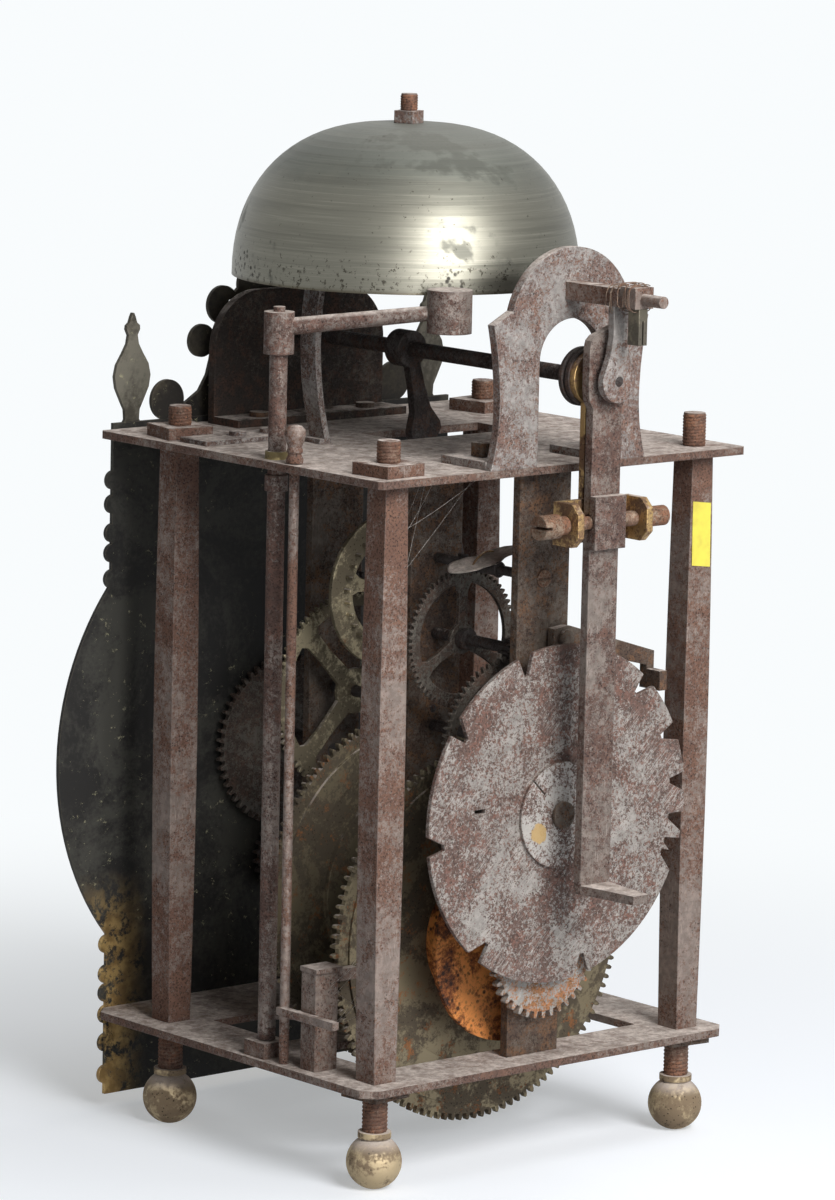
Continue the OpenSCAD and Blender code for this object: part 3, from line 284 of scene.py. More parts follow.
post_iron = iron("post_iron", (0.270, 0.215, 0.185), (0.145, 0.076, 0.053), (0.185, 0.098, 0.066),
                 rusty=0.58, dusty=0.6, worn=0.6)
bar_iron = iron("bar_iron", (0.155, 0.125, 0.100), (0.080, 0.050, 0.036), (0.160, 0.082, 0.042),
                rusty=0.60, dusty=0.6, worn=0.5)
cock_iron = iron("cock_iron", (0.330, 0.305, 0.285), (0.160, 0.102, 0.084), (0.200, 0.112, 0.082),
                 rusty=0.40, dusty=0.9, worn=0.7)
# The front cock is iron like the rear cock, but darker: partly heavier rust, partly painted shade for
# the shadow it stands in.
rust_and_shade_iron = iron("rust_and_shade_iron", (0.105, 0.085, 0.070), (0.034, 0.024, 0.019), (0.080, 0.040, 0.026),
                  rusty=0.7, dusty=0.6, worn=0.5)
arm_iron = iron("arm_iron", (0.235, 0.195, 0.170), (0.098, 0.056, 0.044), (0.150, 0.080, 0.060),
                rusty=0.56, dusty=0.9, worn=0.7)
deck_iron = iron("deck_iron", (0.250, 0.200, 0.170), (0.125, 0.073, 0.056), (0.170, 0.094, 0.066),
                 rusty=0.55, dusty=1.0, worn=0.6)
dark_steel = iron("dark_steel", (0.070, 0.060, 0.056), (0.026, 0.018, 0.016), (0.070, 0.036, 0.024),
                  rusty=0.45, dusty=0.25, worn=0.5)
stand_steel = iron("stand_steel", (0.270, 0.250, 0.235), (0.085, 0.055, 0.046), (0.13, 0.070, 0.05),
                   rusty=0.50, dusty=0.8, worn=1.0)
fly_steel = iron("fly_steel", (0.30, 0.28, 0.235), (0.12, 0.095, 0.075), (0.20, 0.13, 0.07),
                 rusty=0.4, dusty=1.0, worn=0.8)
print("iron finishes: 9")

# %% [markdown]
# ## The count wheel's steel
# This wheel was filed and rubbed, so it is warm grey with fine light scratches, most of them
# along one slant, under a dense mottle of purple-brown rust. Scratches are noise drawn out along
# one line; two slants are used, the second one weaker.


# %% Scratched grey steel
SLANTS = ((-42, 0.75), (-64, 0.4))  # the turn of the scratches in degrees and their strength


def scratched_steel(name, tone, rust_tone, rusty, slants=SLANTS, disc=None):
    """Slanted scratches under mottled rust; disc is the bright middle, its radius and a solder spot."""
    p = Paint(name)
    mottle = p.noise(470, 4, 0.64)
    fine = p.noise(1300, 3, 0.6)
    patch = p.noise(40, 5, 0.64, warp=0.5)
    colour = p.mix(p.noise(210, 5, 0.7).fade(0.36, 0.66), tuple(0.68 * c for c in tone), tone)
    scratch = None
    for turn, strength in slants:
        line = p.noise(2900, 2, 0.5, stretch=(0.018, 1, 1), turn=turn).fade(0.56, 0.68) * strength
        scratch = line if scratch is None else scratch | line
    scratch = scratch * p.noise(24, 5, 0.65).fade(0.47, 0.62)
    level = (patch - 0.5) * 0.85 + (rusty - 0.5) * 0.4
    if disc:
        middle, radius, solder = disc
        flat = p.node("ShaderNodeVectorMath", {"operation": "MULTIPLY"}, p.place, (1, 0, 1))
        apart = p.node("ShaderNodeVectorMath", {"operation": "DISTANCE"}, flat, middle, out="Value")
        inside = 1 - apart.fade(radius - 0.3 * mm, radius)
        level = level - inside * 0.035
        colour = p.mix(inside * 0.5, colour, (0.60, 0.575, 0.54))
    rust = (mottle * 0.85 + 0.08 + (fine - 0.5) * 0.7 + level).fade(0.41, 0.59) * (1 - scratch * 0.6)
    hue = (p.noise(120, 6, 0.7) + (fine - 0.5) * 0.3).fade(0.46, 0.62)
    stain = p.mix(hue, rust_tone, tuple(c * k for c, k in zip(rust_tone, (1.6, 1.35, 1.25))))
    stain = p.mix(p.noise(850, 3).fade(0.50, 0.62) * 0.7, stain, tuple(0.22 * c for c in rust_tone))
    colour = p.mix(rust * 0.95, colour, stain)
    colour = p.mix(scratch * 0.7, colour, tuple(min(0.8, 1.55 * c) for c in tone))
    if disc:
        bit = p.node("ShaderNodeVectorMath", {"operation": "DISTANCE"}, flat, solder, out="Value")
        worn = 1 - (bit + (patch - 0.5) * 0.02).fade(3.5 * mm, 4.5 * mm)
        colour = p.mix(worn * 0.9, colour, (0.50, 0.335, 0.135))
    edge, soft = p.edges(0.8 * mm)
    colour = p.mix(edge * 0.35, colour, (0.30, 0.24, 0.20))
    metallic = (1 - rust) * 0.28
    roughness = 0.5 + rust * 0.28 - scratch * 0.1
    relief = mottle * 0.5 + rust * 0.5 + fine * 0.5 - scratch * 0.3
    return p.finish(colour, roughness, metallic, relief, 0.45, 0.0005, soft)


wheel_low, wheel_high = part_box("count_wheel")
wheel_middle = ((wheel_low.x + wheel_high.x) / 2, 0, (wheel_low.z + wheel_high.z) / 2)
DISC_RADIUS = 27 * mm
solder_spot = (wheel_middle[0] + 14 * mm, 0, wheel_middle[2] - 8 * mm)
count_steel = scratched_steel("count_steel", (0.375, 0.345, 0.315), (0.115, 0.066, 0.052), rusty=0.55,
                              disc=(wheel_middle, DISC_RADIUS, solder_spot))
wheel_steel = scratched_steel("wheel_steel", (0.125, 0.112, 0.094), (0.052, 0.034, 0.025), rusty=0.5,
                              slants=((20, 0.3), (70, 0.2)))
screw_steel = scratched_steel("screw_steel", (0.29, 0.215, 0.155), (0.145, 0.076, 0.045), rusty=0.6)
pinion_steel = scratched_steel("pinion_steel", (0.40, 0.38, 0.35), (0.30, 0.135, 0.050), rusty=0.45)
print("steel finishes: 4")

# %% [markdown]
# ## Brass in its several states
# The wheels' brass has gone dull and pale, the great wheels' greenish brown with orange rust off
# the iron beside it, and the ball feet a dusty gold with dark hollows. One function covers them:
# clean brass, the tarnish that creeps over it in ragged patches, a stain, and dust on top.


# %% Tarnished brass
def brass(name, clean, tarnish, stain, tarnished, stained, roughness, dusty=0.4):
    """Clean brass under creeping tarnish, stain spots, pits, rubbed edges and dust."""
    p = Paint(name)
    fine = p.noise(480, 7, 0.76)
    patch = p.noise(50, 6, 0.68, warp=0.5)
    creep = (fine * 0.7 + 0.15 + (patch - 0.5) * 1.3 + (tarnished - 0.5) * 0.4).fade(0.43, 0.57)
    colour = p.mix(creep, clean, tarnish)
    spot = (p.noise(90, 7, 0.75) + (fine - 0.5) * 0.5).fade(0.70 - 0.22 * stained, 0.78 - 0.2 * stained)
    colour = p.mix(spot * 0.9, colour, stain)
    pit = p.specks(520, 0.28) * patch.fade(0.48, 0.6)
    colour = p.mix(pit * 0.8, colour, (0.022, 0.017, 0.012))
    edge, soft = p.edges(0.7 * mm)
    colour = p.mix(edge * (1 - creep) * 0.5, colour, tuple(min(0.8, 1.5 * c) for c in clean))
    level = p.upward().fade(0.35, 0.95)
    lies = p.noise(70, 7, 0.72).fade(0.62 - 0.4 * dusty, 0.74 - 0.3 * dusty)
    dust = level * lies * (fine * 0.8 + 0.3) & 1.0
    colour = p.mix(dust, colour, DUST)
    roughness = roughness + creep * 0.22 + spot * 0.2 + dust * 0.2
    metallic = (0.85 - creep * 0.4 - spot * 0.4) * (1 - dust)
    return p.finish(colour, roughness, metallic, fine * 0.6 - pit * 0.6 + spot * 0.4, 0.4, 0.0004, soft)


wheel_brass = brass("wheel_brass", (0.33, 0.285, 0.190), (0.130, 0.108, 0.072), (0.15, 0.085, 0.045),
                    tarnished=0.60, stained=0.4, roughness=0.5)
great_brass = brass("great_brass", (0.180, 0.150, 0.098), (0.090, 0.072, 0.050), (0.24, 0.100, 0.038),
                    tarnished=0.55, stained=0.6, roughness=0.62)
foot_brass = brass("foot_brass", (0.36, 0.290, 0.185), (0.230, 0.172, 0.112), (0.120, 0.086, 0.058),
                   tarnished=0.5, stained=0.5, roughness=0.72, dusty=1.0)
yoke_brass = brass("yoke_brass", (0.40, 0.27, 0.12), (0.155, 0.088, 0.050), (0.095, 0.055, 0.036),
                   tarnished=0.55, stained=0.7, roughness=0.4)
block_brass = brass("block_brass", (0.135, 0.120, 0.090), (0.085, 0.075, 0.058), (0.05, 0.038, 0.028),
                    tarnished=0.6, stained=0.3, roughness=0.42)
bush_brass = brass("bush_brass", (0.25, 0.20, 0.10), (0.16, 0.125, 0.06), (0.10, 0.055, 0.03),
                   tarnished=0.5, stained=0.4, roughness=0.45)
print("brass finishes: 6")

# %% [markdown]
# ## Orange rust
# The drums' flanges are eaten by rust as bright as a brick, with black pits down to old scale.
# Three bands of one noise give black, red-brown and orange, so that the colours keep the order
# in which rust grows.


# %% Rust as bright as brick
def live_rust(name):
    """Bright rust from black through red-brown to orange, with black pits."""
    p = Paint(name)
    fine = p.noise(360, 8, 0.8)
    bloom = p.noise(40, 6, 0.66, warp=0.8) + (fine - 0.5) * 0.6
    colour = p.mix(bloom.fade(0.33, 0.45), (0.030, 0.014, 0.010), (0.27, 0.082, 0.024))
    colour = p.mix(bloom.fade(0.42, 0.56), colour, (0.86, 0.330, 0.085))
    pit = p.specks(300, 0.42) * p.noise(50, 5).fade(0.46, 0.58)
    colour = p.mix(pit * 0.9, colour, (0.030, 0.015, 0.010))
    return p.finish(colour, 0.80 - fine * 0.1, 0.0, bloom + fine * 0.5 - pit * 0.6, 0.7)


flange_rust = live_rust("flange_rust")
print("made", flange_rust.name)

# %% [markdown]
# ## The bell
# The bell was turned, so fine marks run round it; its crown has gone greenish grey and its
# flank is brighter, with dark clouds and black specks near the mouth. Marks that run round are
# noise squeezed hard along Z and left long along X and Y. How far up a point lies comes from
# the solid's own box.


# %% Bell bronze
def bell_bronze(name):
    """Turned bronze: marks that run round, a greenish crown, dark clouds and specks by the mouth."""
    low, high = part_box("bell")
    p = Paint(name)
    rise = (p.height() - low.z) * (1 / (high.z - low.z))
    marks = p.noise(14, 4, 0.7, stretch=(1, 1, 150))
    broad = p.noise(6, 3, 0.6, stretch=(1, 1, 40))
    cloud = p.noise(17, 6, 0.62, warp=0.6)
    fine = p.noise(600, 5, 0.7)
    crown = (rise + (cloud - 0.5) * 0.5).fade(0.50, 0.86)
    colour = p.mix(crown, (0.152, 0.146, 0.120), (0.112, 0.116, 0.100))
    colour = p.mix(marks.fade(0.50, 0.66) * (1 - crown * 0.6) * 0.5, colour, (0.235, 0.226, 0.188))
    colour = p.mix(broad.fade(0.50, 0.64) * 0.35, colour, (0.085, 0.082, 0.068))
    stain = (cloud + (p.noise(120, 5) - 0.5) * 0.35).fade(0.57, 0.66)
    colour = p.mix(stain * 0.5, colour, (0.062, 0.063, 0.052))
    mouth = 1 - rise.fade(0.05, 0.34)
    speck = p.specks(260, 0.36) * (p.noise(46, 5) + mouth * 0.14).fade(0.62, 0.74)
    spot = (p.noise(330, 6, 0.75) + mouth * 0.08).fade(0.63, 0.68)
    colour = p.mix((speck | spot) * 0.8, colour, (0.024, 0.020, 0.014))
    colour = p.mix((1 - rise.fade(0.0, 0.03)) * 0.7, colour, (0.060, 0.048, 0.03))
    dust = p.upward().fade(0.72, 1.0) * (fine * 0.6 + cloud * 0.5) * 0.35
    colour = p.mix(dust, colour, (0.36, 0.35, 0.315))
    roughness = 0.38 + stain * 0.12 + speck * 0.2 + marks * 0.06 + crown * 0.14 + dust * 0.3
    metallic = (0.96 - stain * 0.3 - crown * 0.15) * (1 - dust) * (1 - speck)
    relief = marks * 0.6 + broad * 0.3 + (speck | spot) * 0.5 + fine * 0.15
    return p.finish(colour, roughness, metallic, relief, 0.20, 0.0003)


bell_metal = bell_bronze("bell_metal")
print("made", bell_metal.name)

# %% [markdown]
# ## The dial plate
# Seen from behind, the sheet is nearly black with greenish bloom and small yellow flecks of old
# paint; at its lower corner the gilding of the front has crept round the edge. In front it was
# gilt all over and is now dark gold. The two sides differ by which way the face looks.


# %% Blackened and gilt sheet
BLACKENED = ((0.014, 0.013, 0.012), (0.050, 0.048, 0.040))


def gilt_sheet(name, gilding, ground=BLACKENED):
    """Blackened sheet whose front is gilt; gilding above 1 leaves few bare places."""
    p = Paint(name)
    normal = p.node("ShaderNodeTexCoord", out="Normal")
    forward = (0 - p.node("ShaderNodeSeparateXYZ", None, normal, out="Y")).fade(0.3, 0.7)
    fine = p.noise(380, 8, 0.78)
    cloud = p.noise(20, 6, 0.65, warp=0.6) + (fine - 0.5) * 0.4
    colour = p.mix(cloud.fade(0.42, 0.62), *ground)
    fleck = p.noise(210, 8, 0.8).fade(0.60, 0.64) * p.noise(18, 4).fade(0.44, 0.56)
    colour = p.mix(fleck * 0.85, colour, (0.34, 0.32, 0.20))
    gold_left = p.noise(85, 8, 0.78, warp=0.3) + (fine - 0.5) * 0.4
    foot = (1 - p.height("Z").fade(0.085, 0.13)) * p.height("X").fade(0.085, 0.112)
    gilt = forward * gold_left.fade(0.56 - 0.2 * gilding, 0.66 - 0.14 * gilding)
    gilt = gilt | foot * gold_left.fade(0.42, 0.52)
    gold = p.mix(p.noise(130, 5).fade(0.4, 0.62), (0.250, 0.155, 0.058), (0.46, 0.31, 0.12))
    colour = p.mix(gilt * 0.9, colour, gold)
    edge, soft = p.edges(0.6 * mm)
    colour = p.mix(edge * 0.45, colour, (0.15, 0.115, 0.07))
    roughness = 0.55 - gilt * 0.14 + fine * 0.14
    metallic = gilt * 0.7 + fleck * 0.1
    relief = fine * 0.6 + cloud * 0.6 + gilt * 0.3
    return p.finish(colour, roughness, metallic, relief, 0.4, 0.0005, soft)


dial_sheet = gilt_sheet("dial_sheet", 1.3)
crest_sheet = gilt_sheet("crest_sheet", 1.3, ((0.018, 0.015, 0.012), (0.060, 0.050, 0.034)))
finial_sheet = gilt_sheet("finial_sheet", 1.2, ((0.048, 0.042, 0.031), (0.150, 0.138, 0.108)))


def silvered(name):
    """Worn silvering: pale grey with warm brass where it has rubbed through."""
    p = Paint(name)
    fine = p.noise(400, 7, 0.75)
    worn = (p.noise(40, 6, 0.68, warp=0.4) + (fine - 0.5) * 0.5).fade(0.50, 0.62)
    colour = p.mix(worn, (0.46, 0.44, 0.39), (0.27, 0.195, 0.105))
    colour = p.mix(p.specks(300, 0.3) * worn * 0.7, colour, (0.05, 0.04, 0.03))
    return p.finish(colour, 0.42 + worn * 0.2, 0.6 - worn * 0.2, fine, 0.2, 0.0003)


pale_silver = silvered("pale_silver")
print("sheet finishes: 3, and", pale_silver.name)

# %% [markdown]
# ## Giving every solid its finish
# Each solid keeps its shape from the model and only takes a material. The table reads like a
# parts list: a finish and the pieces that have it.

# %% Finishes by piece
FINISHES = {
    deck_iron: "bottom_plate top_plate lower_bracket hammer_step",
    post_iron: "front_right_column rear_right_column front_left_column rear_left_column column_nuts "
               "release_rod suspension_bracket",
    bar_iron: "front_bar middle_bar rear_bar count_detent hour_hand cock_bolts foot_washers "
              "bar_studs",
    cock_iron: "rear_cock pallet_hanger bell_nut",
    rust_and_shade_iron: "front_cock",
    arm_iron: "crutch_arm hammer",
    dark_steel: "pallet_arbor going_great_arbor going_second_arbor escape_arbor strike_great_arbor "
                "strike_second_arbor strike_third_arbor fly_arbor hour_stud lifting_pins",
    stand_steel: "bell_stand",
    count_steel: "count_wheel",
    wheel_steel: "hour_wheel strike_second_wheel strike_third_wheel count_gear",
    screw_steel: "fly_bush beat_screw",
    fly_steel: "fly",
    wheel_brass: "going_second_wheel escape_wheel",
    great_brass: "going_great_wheel strike_great_wheel",
    pinion_steel: "count_pinion",
    foot_brass: "ball_feet",
    bush_brass: "hammer_bush",
    yoke_brass: "beat_yoke",
    block_brass: "suspension_block",
    flange_rust: "going_drum strike_drum",
    bell_metal: "bell",
    dial_sheet: "dial_plate",
    crest_sheet: "dial_crest",
    finial_sheet: "dial_finials",
    pale_silver: "hour_ring",
}
dressed = set()
for material, names in FINISHES.items():
    for name in names.split():
        nodes[name].data.materials.clear()
        nodes[name].data.materials.append(material)
        dressed.add(name)
print("solids with a finish:", len(dressed), "left:", sorted(set(nodes) - dressed))

# %% [markdown]
# ## Surfaces from two parameters
# What is added is worked out as a grid of points: rows along one parameter, columns along the
# other. A closed piece runs its rows into a pole at each end, and the doubled points there are
# merged. Faces that the grid turns inside out are put right before the piece is kept.


# %% Meshes from grids
def keep(name, points, faces, material, body):
    """A piece from points and faces, with its doubled points merged, riding on one body."""
    mesh = bpy.data.meshes.new(name)
    mesh.from_pydata(points.reshape(-1, 3).tolist(), [], faces.tolist())
    work = bmesh.new()
    work.from_mesh(mesh)
    bmesh.ops.remove_doubles(work, verts=work.verts, dist=2e-6)
    bmesh.ops.dissolve_degenerate(work, edges=work.edges, dist=1e-7)
    bmesh.ops.recalc_face_normals(work, faces=work.faces)
    work.to_mesh(mesh)
    work.free()
    mesh.materials.append(material)
    piece = bpy.data.objects.new(name, mesh)
    bpy.context.scene.collection.objects.link(piece)
    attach(piece, body)
    return piece


def grid_faces(rows, columns, around=True):
    """Four-sided faces of a grid, closed round its columns if it goes around."""
    across = columns if around else columns - 1
    i, j = np.meshgrid(np.arange(rows - 1), np.arange(across), indexing="ij")
    k = (j + 1) % columns
    this, above = i * columns, (i + 1) * columns
    return np.stack([this + j, this + k, above + k, above + j], -1).reshape(-1, 4)


def smooth(piece, angle):
    """Shades a piece smooth, with its sharp edges kept."""
    for face in piece.data.polygons:
        face.use_smooth = True
    piece.data.set_sharp_from_angle(angle=math.radians(angle))
    return piece


print("grid of 3 by 4 points:", len(grid_faces(3, 4)), "faces when it closes round")


# %% [markdown]
# ## Screw threads
# The studs of the real clock are cut with a coarse thread, and the solids leave it out. A thread
# is a cylinder whose radius rises and falls along its height, with the wave moved on by one
# pitch in each turn, so that its crests climb. The crests are rounded by wear.


# %% Threads over the studs
THREAD_SIDES = 28
ROWS_TO_A_PITCH = 7
SKIN = 0.06 * mm                    # how far the valleys of a thread lie outside the stud


def thread(name, base, radius, length, pitch, material, body, axis="Z", crest=0.45 * mm):
    """Radius = stud + crest height * sin(pi * wave)^0.8, where wave = (height / pitch - turn) mod 1."""
    rows = int(length / pitch * ROWS_TO_A_PITCH) + 2
    along = np.linspace(0, length, rows)
    turn = np.arange(THREAD_SIDES) / THREAD_SIDES
    wave = (along[:, None] / pitch - turn[None, :]) % 1.0
    ridge = np.sin(np.pi * wave) ** 0.8
    ends = np.clip(np.minimum(along, length - along) / (0.5 * pitch), 0, 1)[:, None]
    r = radius + SKIN + crest * ridge * ends
    along = np.concatenate([[0], along, [length]])
    pole = np.zeros(THREAD_SIDES)
    r = np.vstack([pole, r, pole])
    angle = 2 * np.pi * turn[None, :]
    rise = np.broadcast_to(along[:, None], r.shape)
    upright = np.stack([r * np.cos(angle), r * np.sin(angle), rise], -1)
    if axis == "X":
        upright = upright[..., [2, 0, 1]]
    points = upright + np.array(base)
    return smooth(keep(name, points, grid_faces(rows + 2, THREAD_SIDES), material, body), 50)


thread_rust = iron("thread_rust", (0.24, 0.160, 0.115), (0.130, 0.064, 0.042), (0.26, 0.120, 0.068),
                   rusty=0.7, dusty=0.3, worn=0.6)
CORNERS = ("front_right", "rear_right", "front_left", "rear_left")
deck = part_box("top_plate")[1].z
nut_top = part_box("column_nuts")[1].z
floor_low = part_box("bottom_plate")[0].z
ball_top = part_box("ball_feet")[1].z
TOP_STUD, TOP_PITCH = 5.5 * mm, 1.6 * mm
FOOT_STUD, FOOT_PITCH = 5.8 * mm, 2.0 * mm
WASHER = 4 * mm                     # only the rear posts stand on one
for side in CORNERS:
    low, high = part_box(side + "_column")
    x, y = (low.x + high.x) / 2, (low.y + high.y) / 2
    start = deck if side == "rear_left" else nut_top
    thread("top_thread_" + side, (x, y, start), TOP_STUD, high.z - start - 0.5 * mm, TOP_PITCH,
           thread_rust, "frame")
    washer = WASHER if side.startswith("rear") else 0
    free = floor_low - washer - ball_top + 0.4 * mm
    thread("foot_thread_" + side, (x, y, ball_top - 0.5 * mm), FOOT_STUD, free, FOOT_PITCH,
           thread_rust, "frame", crest=0.6 * mm)
bell_low, bell_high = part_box("bell")
nut_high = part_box("bell_nut")[1]
bell_x, bell_y = (bell_low.x + bell_high.x) / 2, (bell_low.y + bell_high.y) / 2
BELL_STUD = 4 * mm
STUD_START = 6.4 * mm               # where the thread starts over the bell's crown
bell_free = nut_high.z - bell_high.z - STUD_START - 0.4 * mm
thread("bell_thread", (bell_x, bell_y, bell_high.z + STUD_START), BELL_STUD, bell_free,
       1.3 * mm, thread_rust, "frame")
screw_low, screw_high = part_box("beat_screw")
screw_y, screw_z = (screw_low.y + screw_high.y) / 2, (screw_low.z + screw_high.z) / 2
BEAT_THREAD = 7.2 * mm              # short enough to stay clear of the crutch at both ends of travel
BEAT_END = 20.6 * mm
for end, x0 in (("left", -BEAT_END), ("right", BEAT_END - BEAT_THREAD)):
    thread("beat_thread_" + end, (x0, screw_y, screw_z), 3.5 * mm, BEAT_THREAD, 1.2 * mm,
           screw_steel, "beat_screw", axis="X", crest=0.35 * mm)
print("threads made")

# %% [markdown]
# ## The dial's numerals
# A clock of this kind has one hand, a ring with twelve numerals and a track of quarter marks
# inside it. The numerals are plain roman figures from Blender's own font, made into meshes,
# turned upright on the ring and set round it.

# %% Numerals and quarter track
ring_low, ring_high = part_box("hour_ring")
dial_x, dial_z = (ring_low.x + ring_high.x) / 2, (ring_low.z + ring_high.z) / 2
ring_face = ring_low.y
ring_outer = (ring_high.x - ring_low.x) / 2
RING_WIDTH = 40 * mm
ROMAN = "I II III IIII V VI VII VIII IX X XI XII".split()


def black_wax(name):
    """The wax that fills the engraving: nearly black, a little glossy, cracked fine."""
    p = Paint(name)
    crack = p.noise(300, 5, 0.7)
    colour = p.mix(crack.fade(0.4, 0.7), (0.012, 0.011, 0.010), (0.035, 0.030, 0.026))
    return p.finish(colour, 0.35 + crack * 0.3, 0.0, crack, 0.3, 0.0002)


wax = black_wax("black_wax")


def numerals():
    """Every hour's figure, upright to the dial's middle, as one mesh."""
    whole = bmesh.new()
    for hour, figure in enumerate(ROMAN, start=1):
        text = bpy.data.curves.new("figure", "FONT")
        text.body, text.size, text.extrude = figure, 27 * mm, 0.12 * mm
        text.align_x, text.align_y = "CENTER", "CENTER"
        text.space_character = 0.92
        holder = bpy.data.objects.new("figure", text)
        bpy.context.scene.collection.objects.link(holder)
        bpy.context.view_layer.update()
        current = bpy.context.evaluated_depsgraph_get()
        mesh = bpy.data.meshes.new_from_object(holder.evaluated_get(current))
        upright = Matrix.Rotation(math.pi / 2, 4, "X")
        outwards = Matrix.Translation((0, 0, ring_outer - 16 * mm))
        round_dial = Matrix.Rotation(hour * math.pi / 6, 4, "Y")
        middle = Matrix.Translation((dial_x, ring_face - 0.1 * mm, dial_z))
        mesh.transform(middle @ round_dial @ outwards @ upright)
        whole.from_mesh(mesh)
        bpy.data.objects.remove(holder)
    mesh = bpy.data.meshes.new("hour_numerals")
    whole.to_mesh(mesh)
    whole.free()
    mesh.materials.append(wax)
    piece = bpy.data.objects.new("hour_numerals", mesh)
    bpy.context.scene.collection.objects.link(piece)
    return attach(piece, "frame")


numerals()


def dial_line(name, r0, r1):
    """A thin raised ring: four corners of its section carried once round the dial."""
    steps = 180
    angle = np.linspace(0, 2 * np.pi, steps, endpoint=False)
    section = np.array([[r0, 0], [r0, 0.14], [r1, 0.14], [r1, 0], [r0, 0]]) * mm
    r, lift = section[:, 0][:, None], section[:, 1][:, None]
    x, z = dial_x + r * np.cos(angle), dial_z + r * np.sin(angle)
    points = np.stack([x, ring_face - lift + 0 * angle, z], -1)
    return keep(name, points, grid_faces(len(section), steps), wax, "frame")


outer = ring_outer / mm
inner = outer - RING_WIDTH / mm
for name, r0 in (("outer", outer - 2), ("track", inner + 6.5), ("inner", inner + 1.2)):
    dial_line("dial_line_" + name, r0, r0 + 0.7)


def quarter_marks():
    """Bars across the inner track, four to the hour, as one mesh of small flat blocks."""
    number = np.arange(48)
    angle = number * np.pi / 24
    width = np.where(number % 4 == 0, 1.1, 0.5)[:, None] * mm
    r = np.array([inner + 1.5, inner + 6.8]) * mm
    corner_r = np.array([r[0], r[1], r[1], r[0]])[None, :]
    corner_s = np.array([-1, -1, 1, 1])[None, :] * width
    x = dial_x + corner_r * np.sin(angle)[:, None] + corner_s * np.cos(angle)[:, None]
    z = dial_z + corner_r * np.cos(angle)[:, None] - corner_s * np.sin(angle)[:, None]
    top = np.stack([x, np.full_like(x, ring_face - 0.14 * mm), z], -1)
    foot = np.stack([x, np.full_like(x, ring_face), z], -1)
    points = np.concatenate([top, foot], 1)
    ends = [[0, 1, 2, 3], [7, 6, 5, 4]]
    sides = [[0, 4, 5, 1], [1, 5, 6, 2], [2, 6, 7, 3], [3, 7, 4, 0]]
    block = np.array(ends + sides)
    faces = (block[None] + 8 * number[:, None, None]).reshape(-1, 4)
    return keep("quarter_marks", points, faces, wax, "frame")


quarter_marks()
print("dial figures:", len(ROMAN))

# %% [markdown]
# ## The wire on the bracket
# Someone once bound the suspension with thin wire, and its loose turns still hang there. A wire
# is a circle carried along a path; the path winds round the bracket's end with a little
# unevenness, and the circle stays square to the path's direction.


# %% Wire turns
def tube(name, path, radius, material, body, sides=8):
    """A circle of the radius carried along the path, square to its direction; poles close its ends."""
    path = np.asarray(path, float)
    ahead = np.gradient(path, axis=0)
    ahead /= np.linalg.norm(ahead, axis=1)[:, None]
    side = np.cross(ahead, np.array([0.31, 0.17, 0.93]))
    side /= np.linalg.norm(side, axis=1)[:, None]
    other = np.cross(ahead, side)
    angle = np.linspace(0, 2 * np.pi, sides, endpoint=False)
    ring = side[:, None] * np.cos(angle)[None, :, None] + other[:, None] * np.sin(angle)[None, :, None]
    points = path[:, None] + radius * ring
    caps = [np.repeat(path[i][None, None], sides, 1) for i in (0, -1)]
    points = np.concatenate([caps[0], points, caps[1]], 0)
    return smooth(keep(name, points, grid_faces(len(points), sides), material, body), 60)


def binding(turns, start_y, end_y, half_x, half_z, middle_z, wander, seed):
    """A squared circle wound along Y, in millimetres, pushed about by slow sine waves."""
    t = np.linspace(0, turns, int(turns * 26))
    a = 2 * np.pi * t + seed
    c, s = np.cos(a), np.sin(a)
    x = half_x * np.sign(c) * np.abs(c) ** 0.55 + wander * 0.6 * np.sin(1.7 * t + seed)
    z = middle_z + half_z * np.sign(s) * np.abs(s) ** 0.55 + wander * 0.5 * np.sin(2.3 * t + 2 * seed)
    y = start_y + (end_y - start_y) * t / turns + wander * np.sin(a * 0.5 + seed)
    return np.stack([x, y, z], -1) * mm


bracket_low, bracket_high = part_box("suspension_bracket")
bracket_end = bracket_high.y / mm - 14
bar_z = (bracket_low.z + bracket_high.z) / 2 / mm
turns = binding(turns=5.3, start_y=bracket_end - 12, end_y=bracket_end - 1.5, half_x=7.6, half_z=6.4,
                middle_z=bar_z, wander=1.2, seed=0.4)
tube("bracket_wire", turns, 0.28 * mm, screw_steel, "frame")
turns = binding(turns=3.4, start_y=bracket_end - 21, end_y=bracket_end - 15.5, half_x=6.6, half_z=7.2,
                middle_z=bar_z - 2, wander=1.0, seed=2.1)
tube("hanger_wire", turns, 0.25 * mm, screw_steel, "frame")
print("wires end", round(bracket_end, 1), "mm behind the clock's middle")

# %% [markdown]
# ## A blank paper tag
# A yellow slip is stuck to the rear left post. It is left blank, follows the post's swell and
# lifts a little at its corners, which a flat rectangle would not show.


# %% Paper slip
SLIP_FOOT, SLIP_HEIGHT = 297, 33    # millimetres above the table, and its own height
SLIP_HALF = 6.6                     # half its width in millimetres


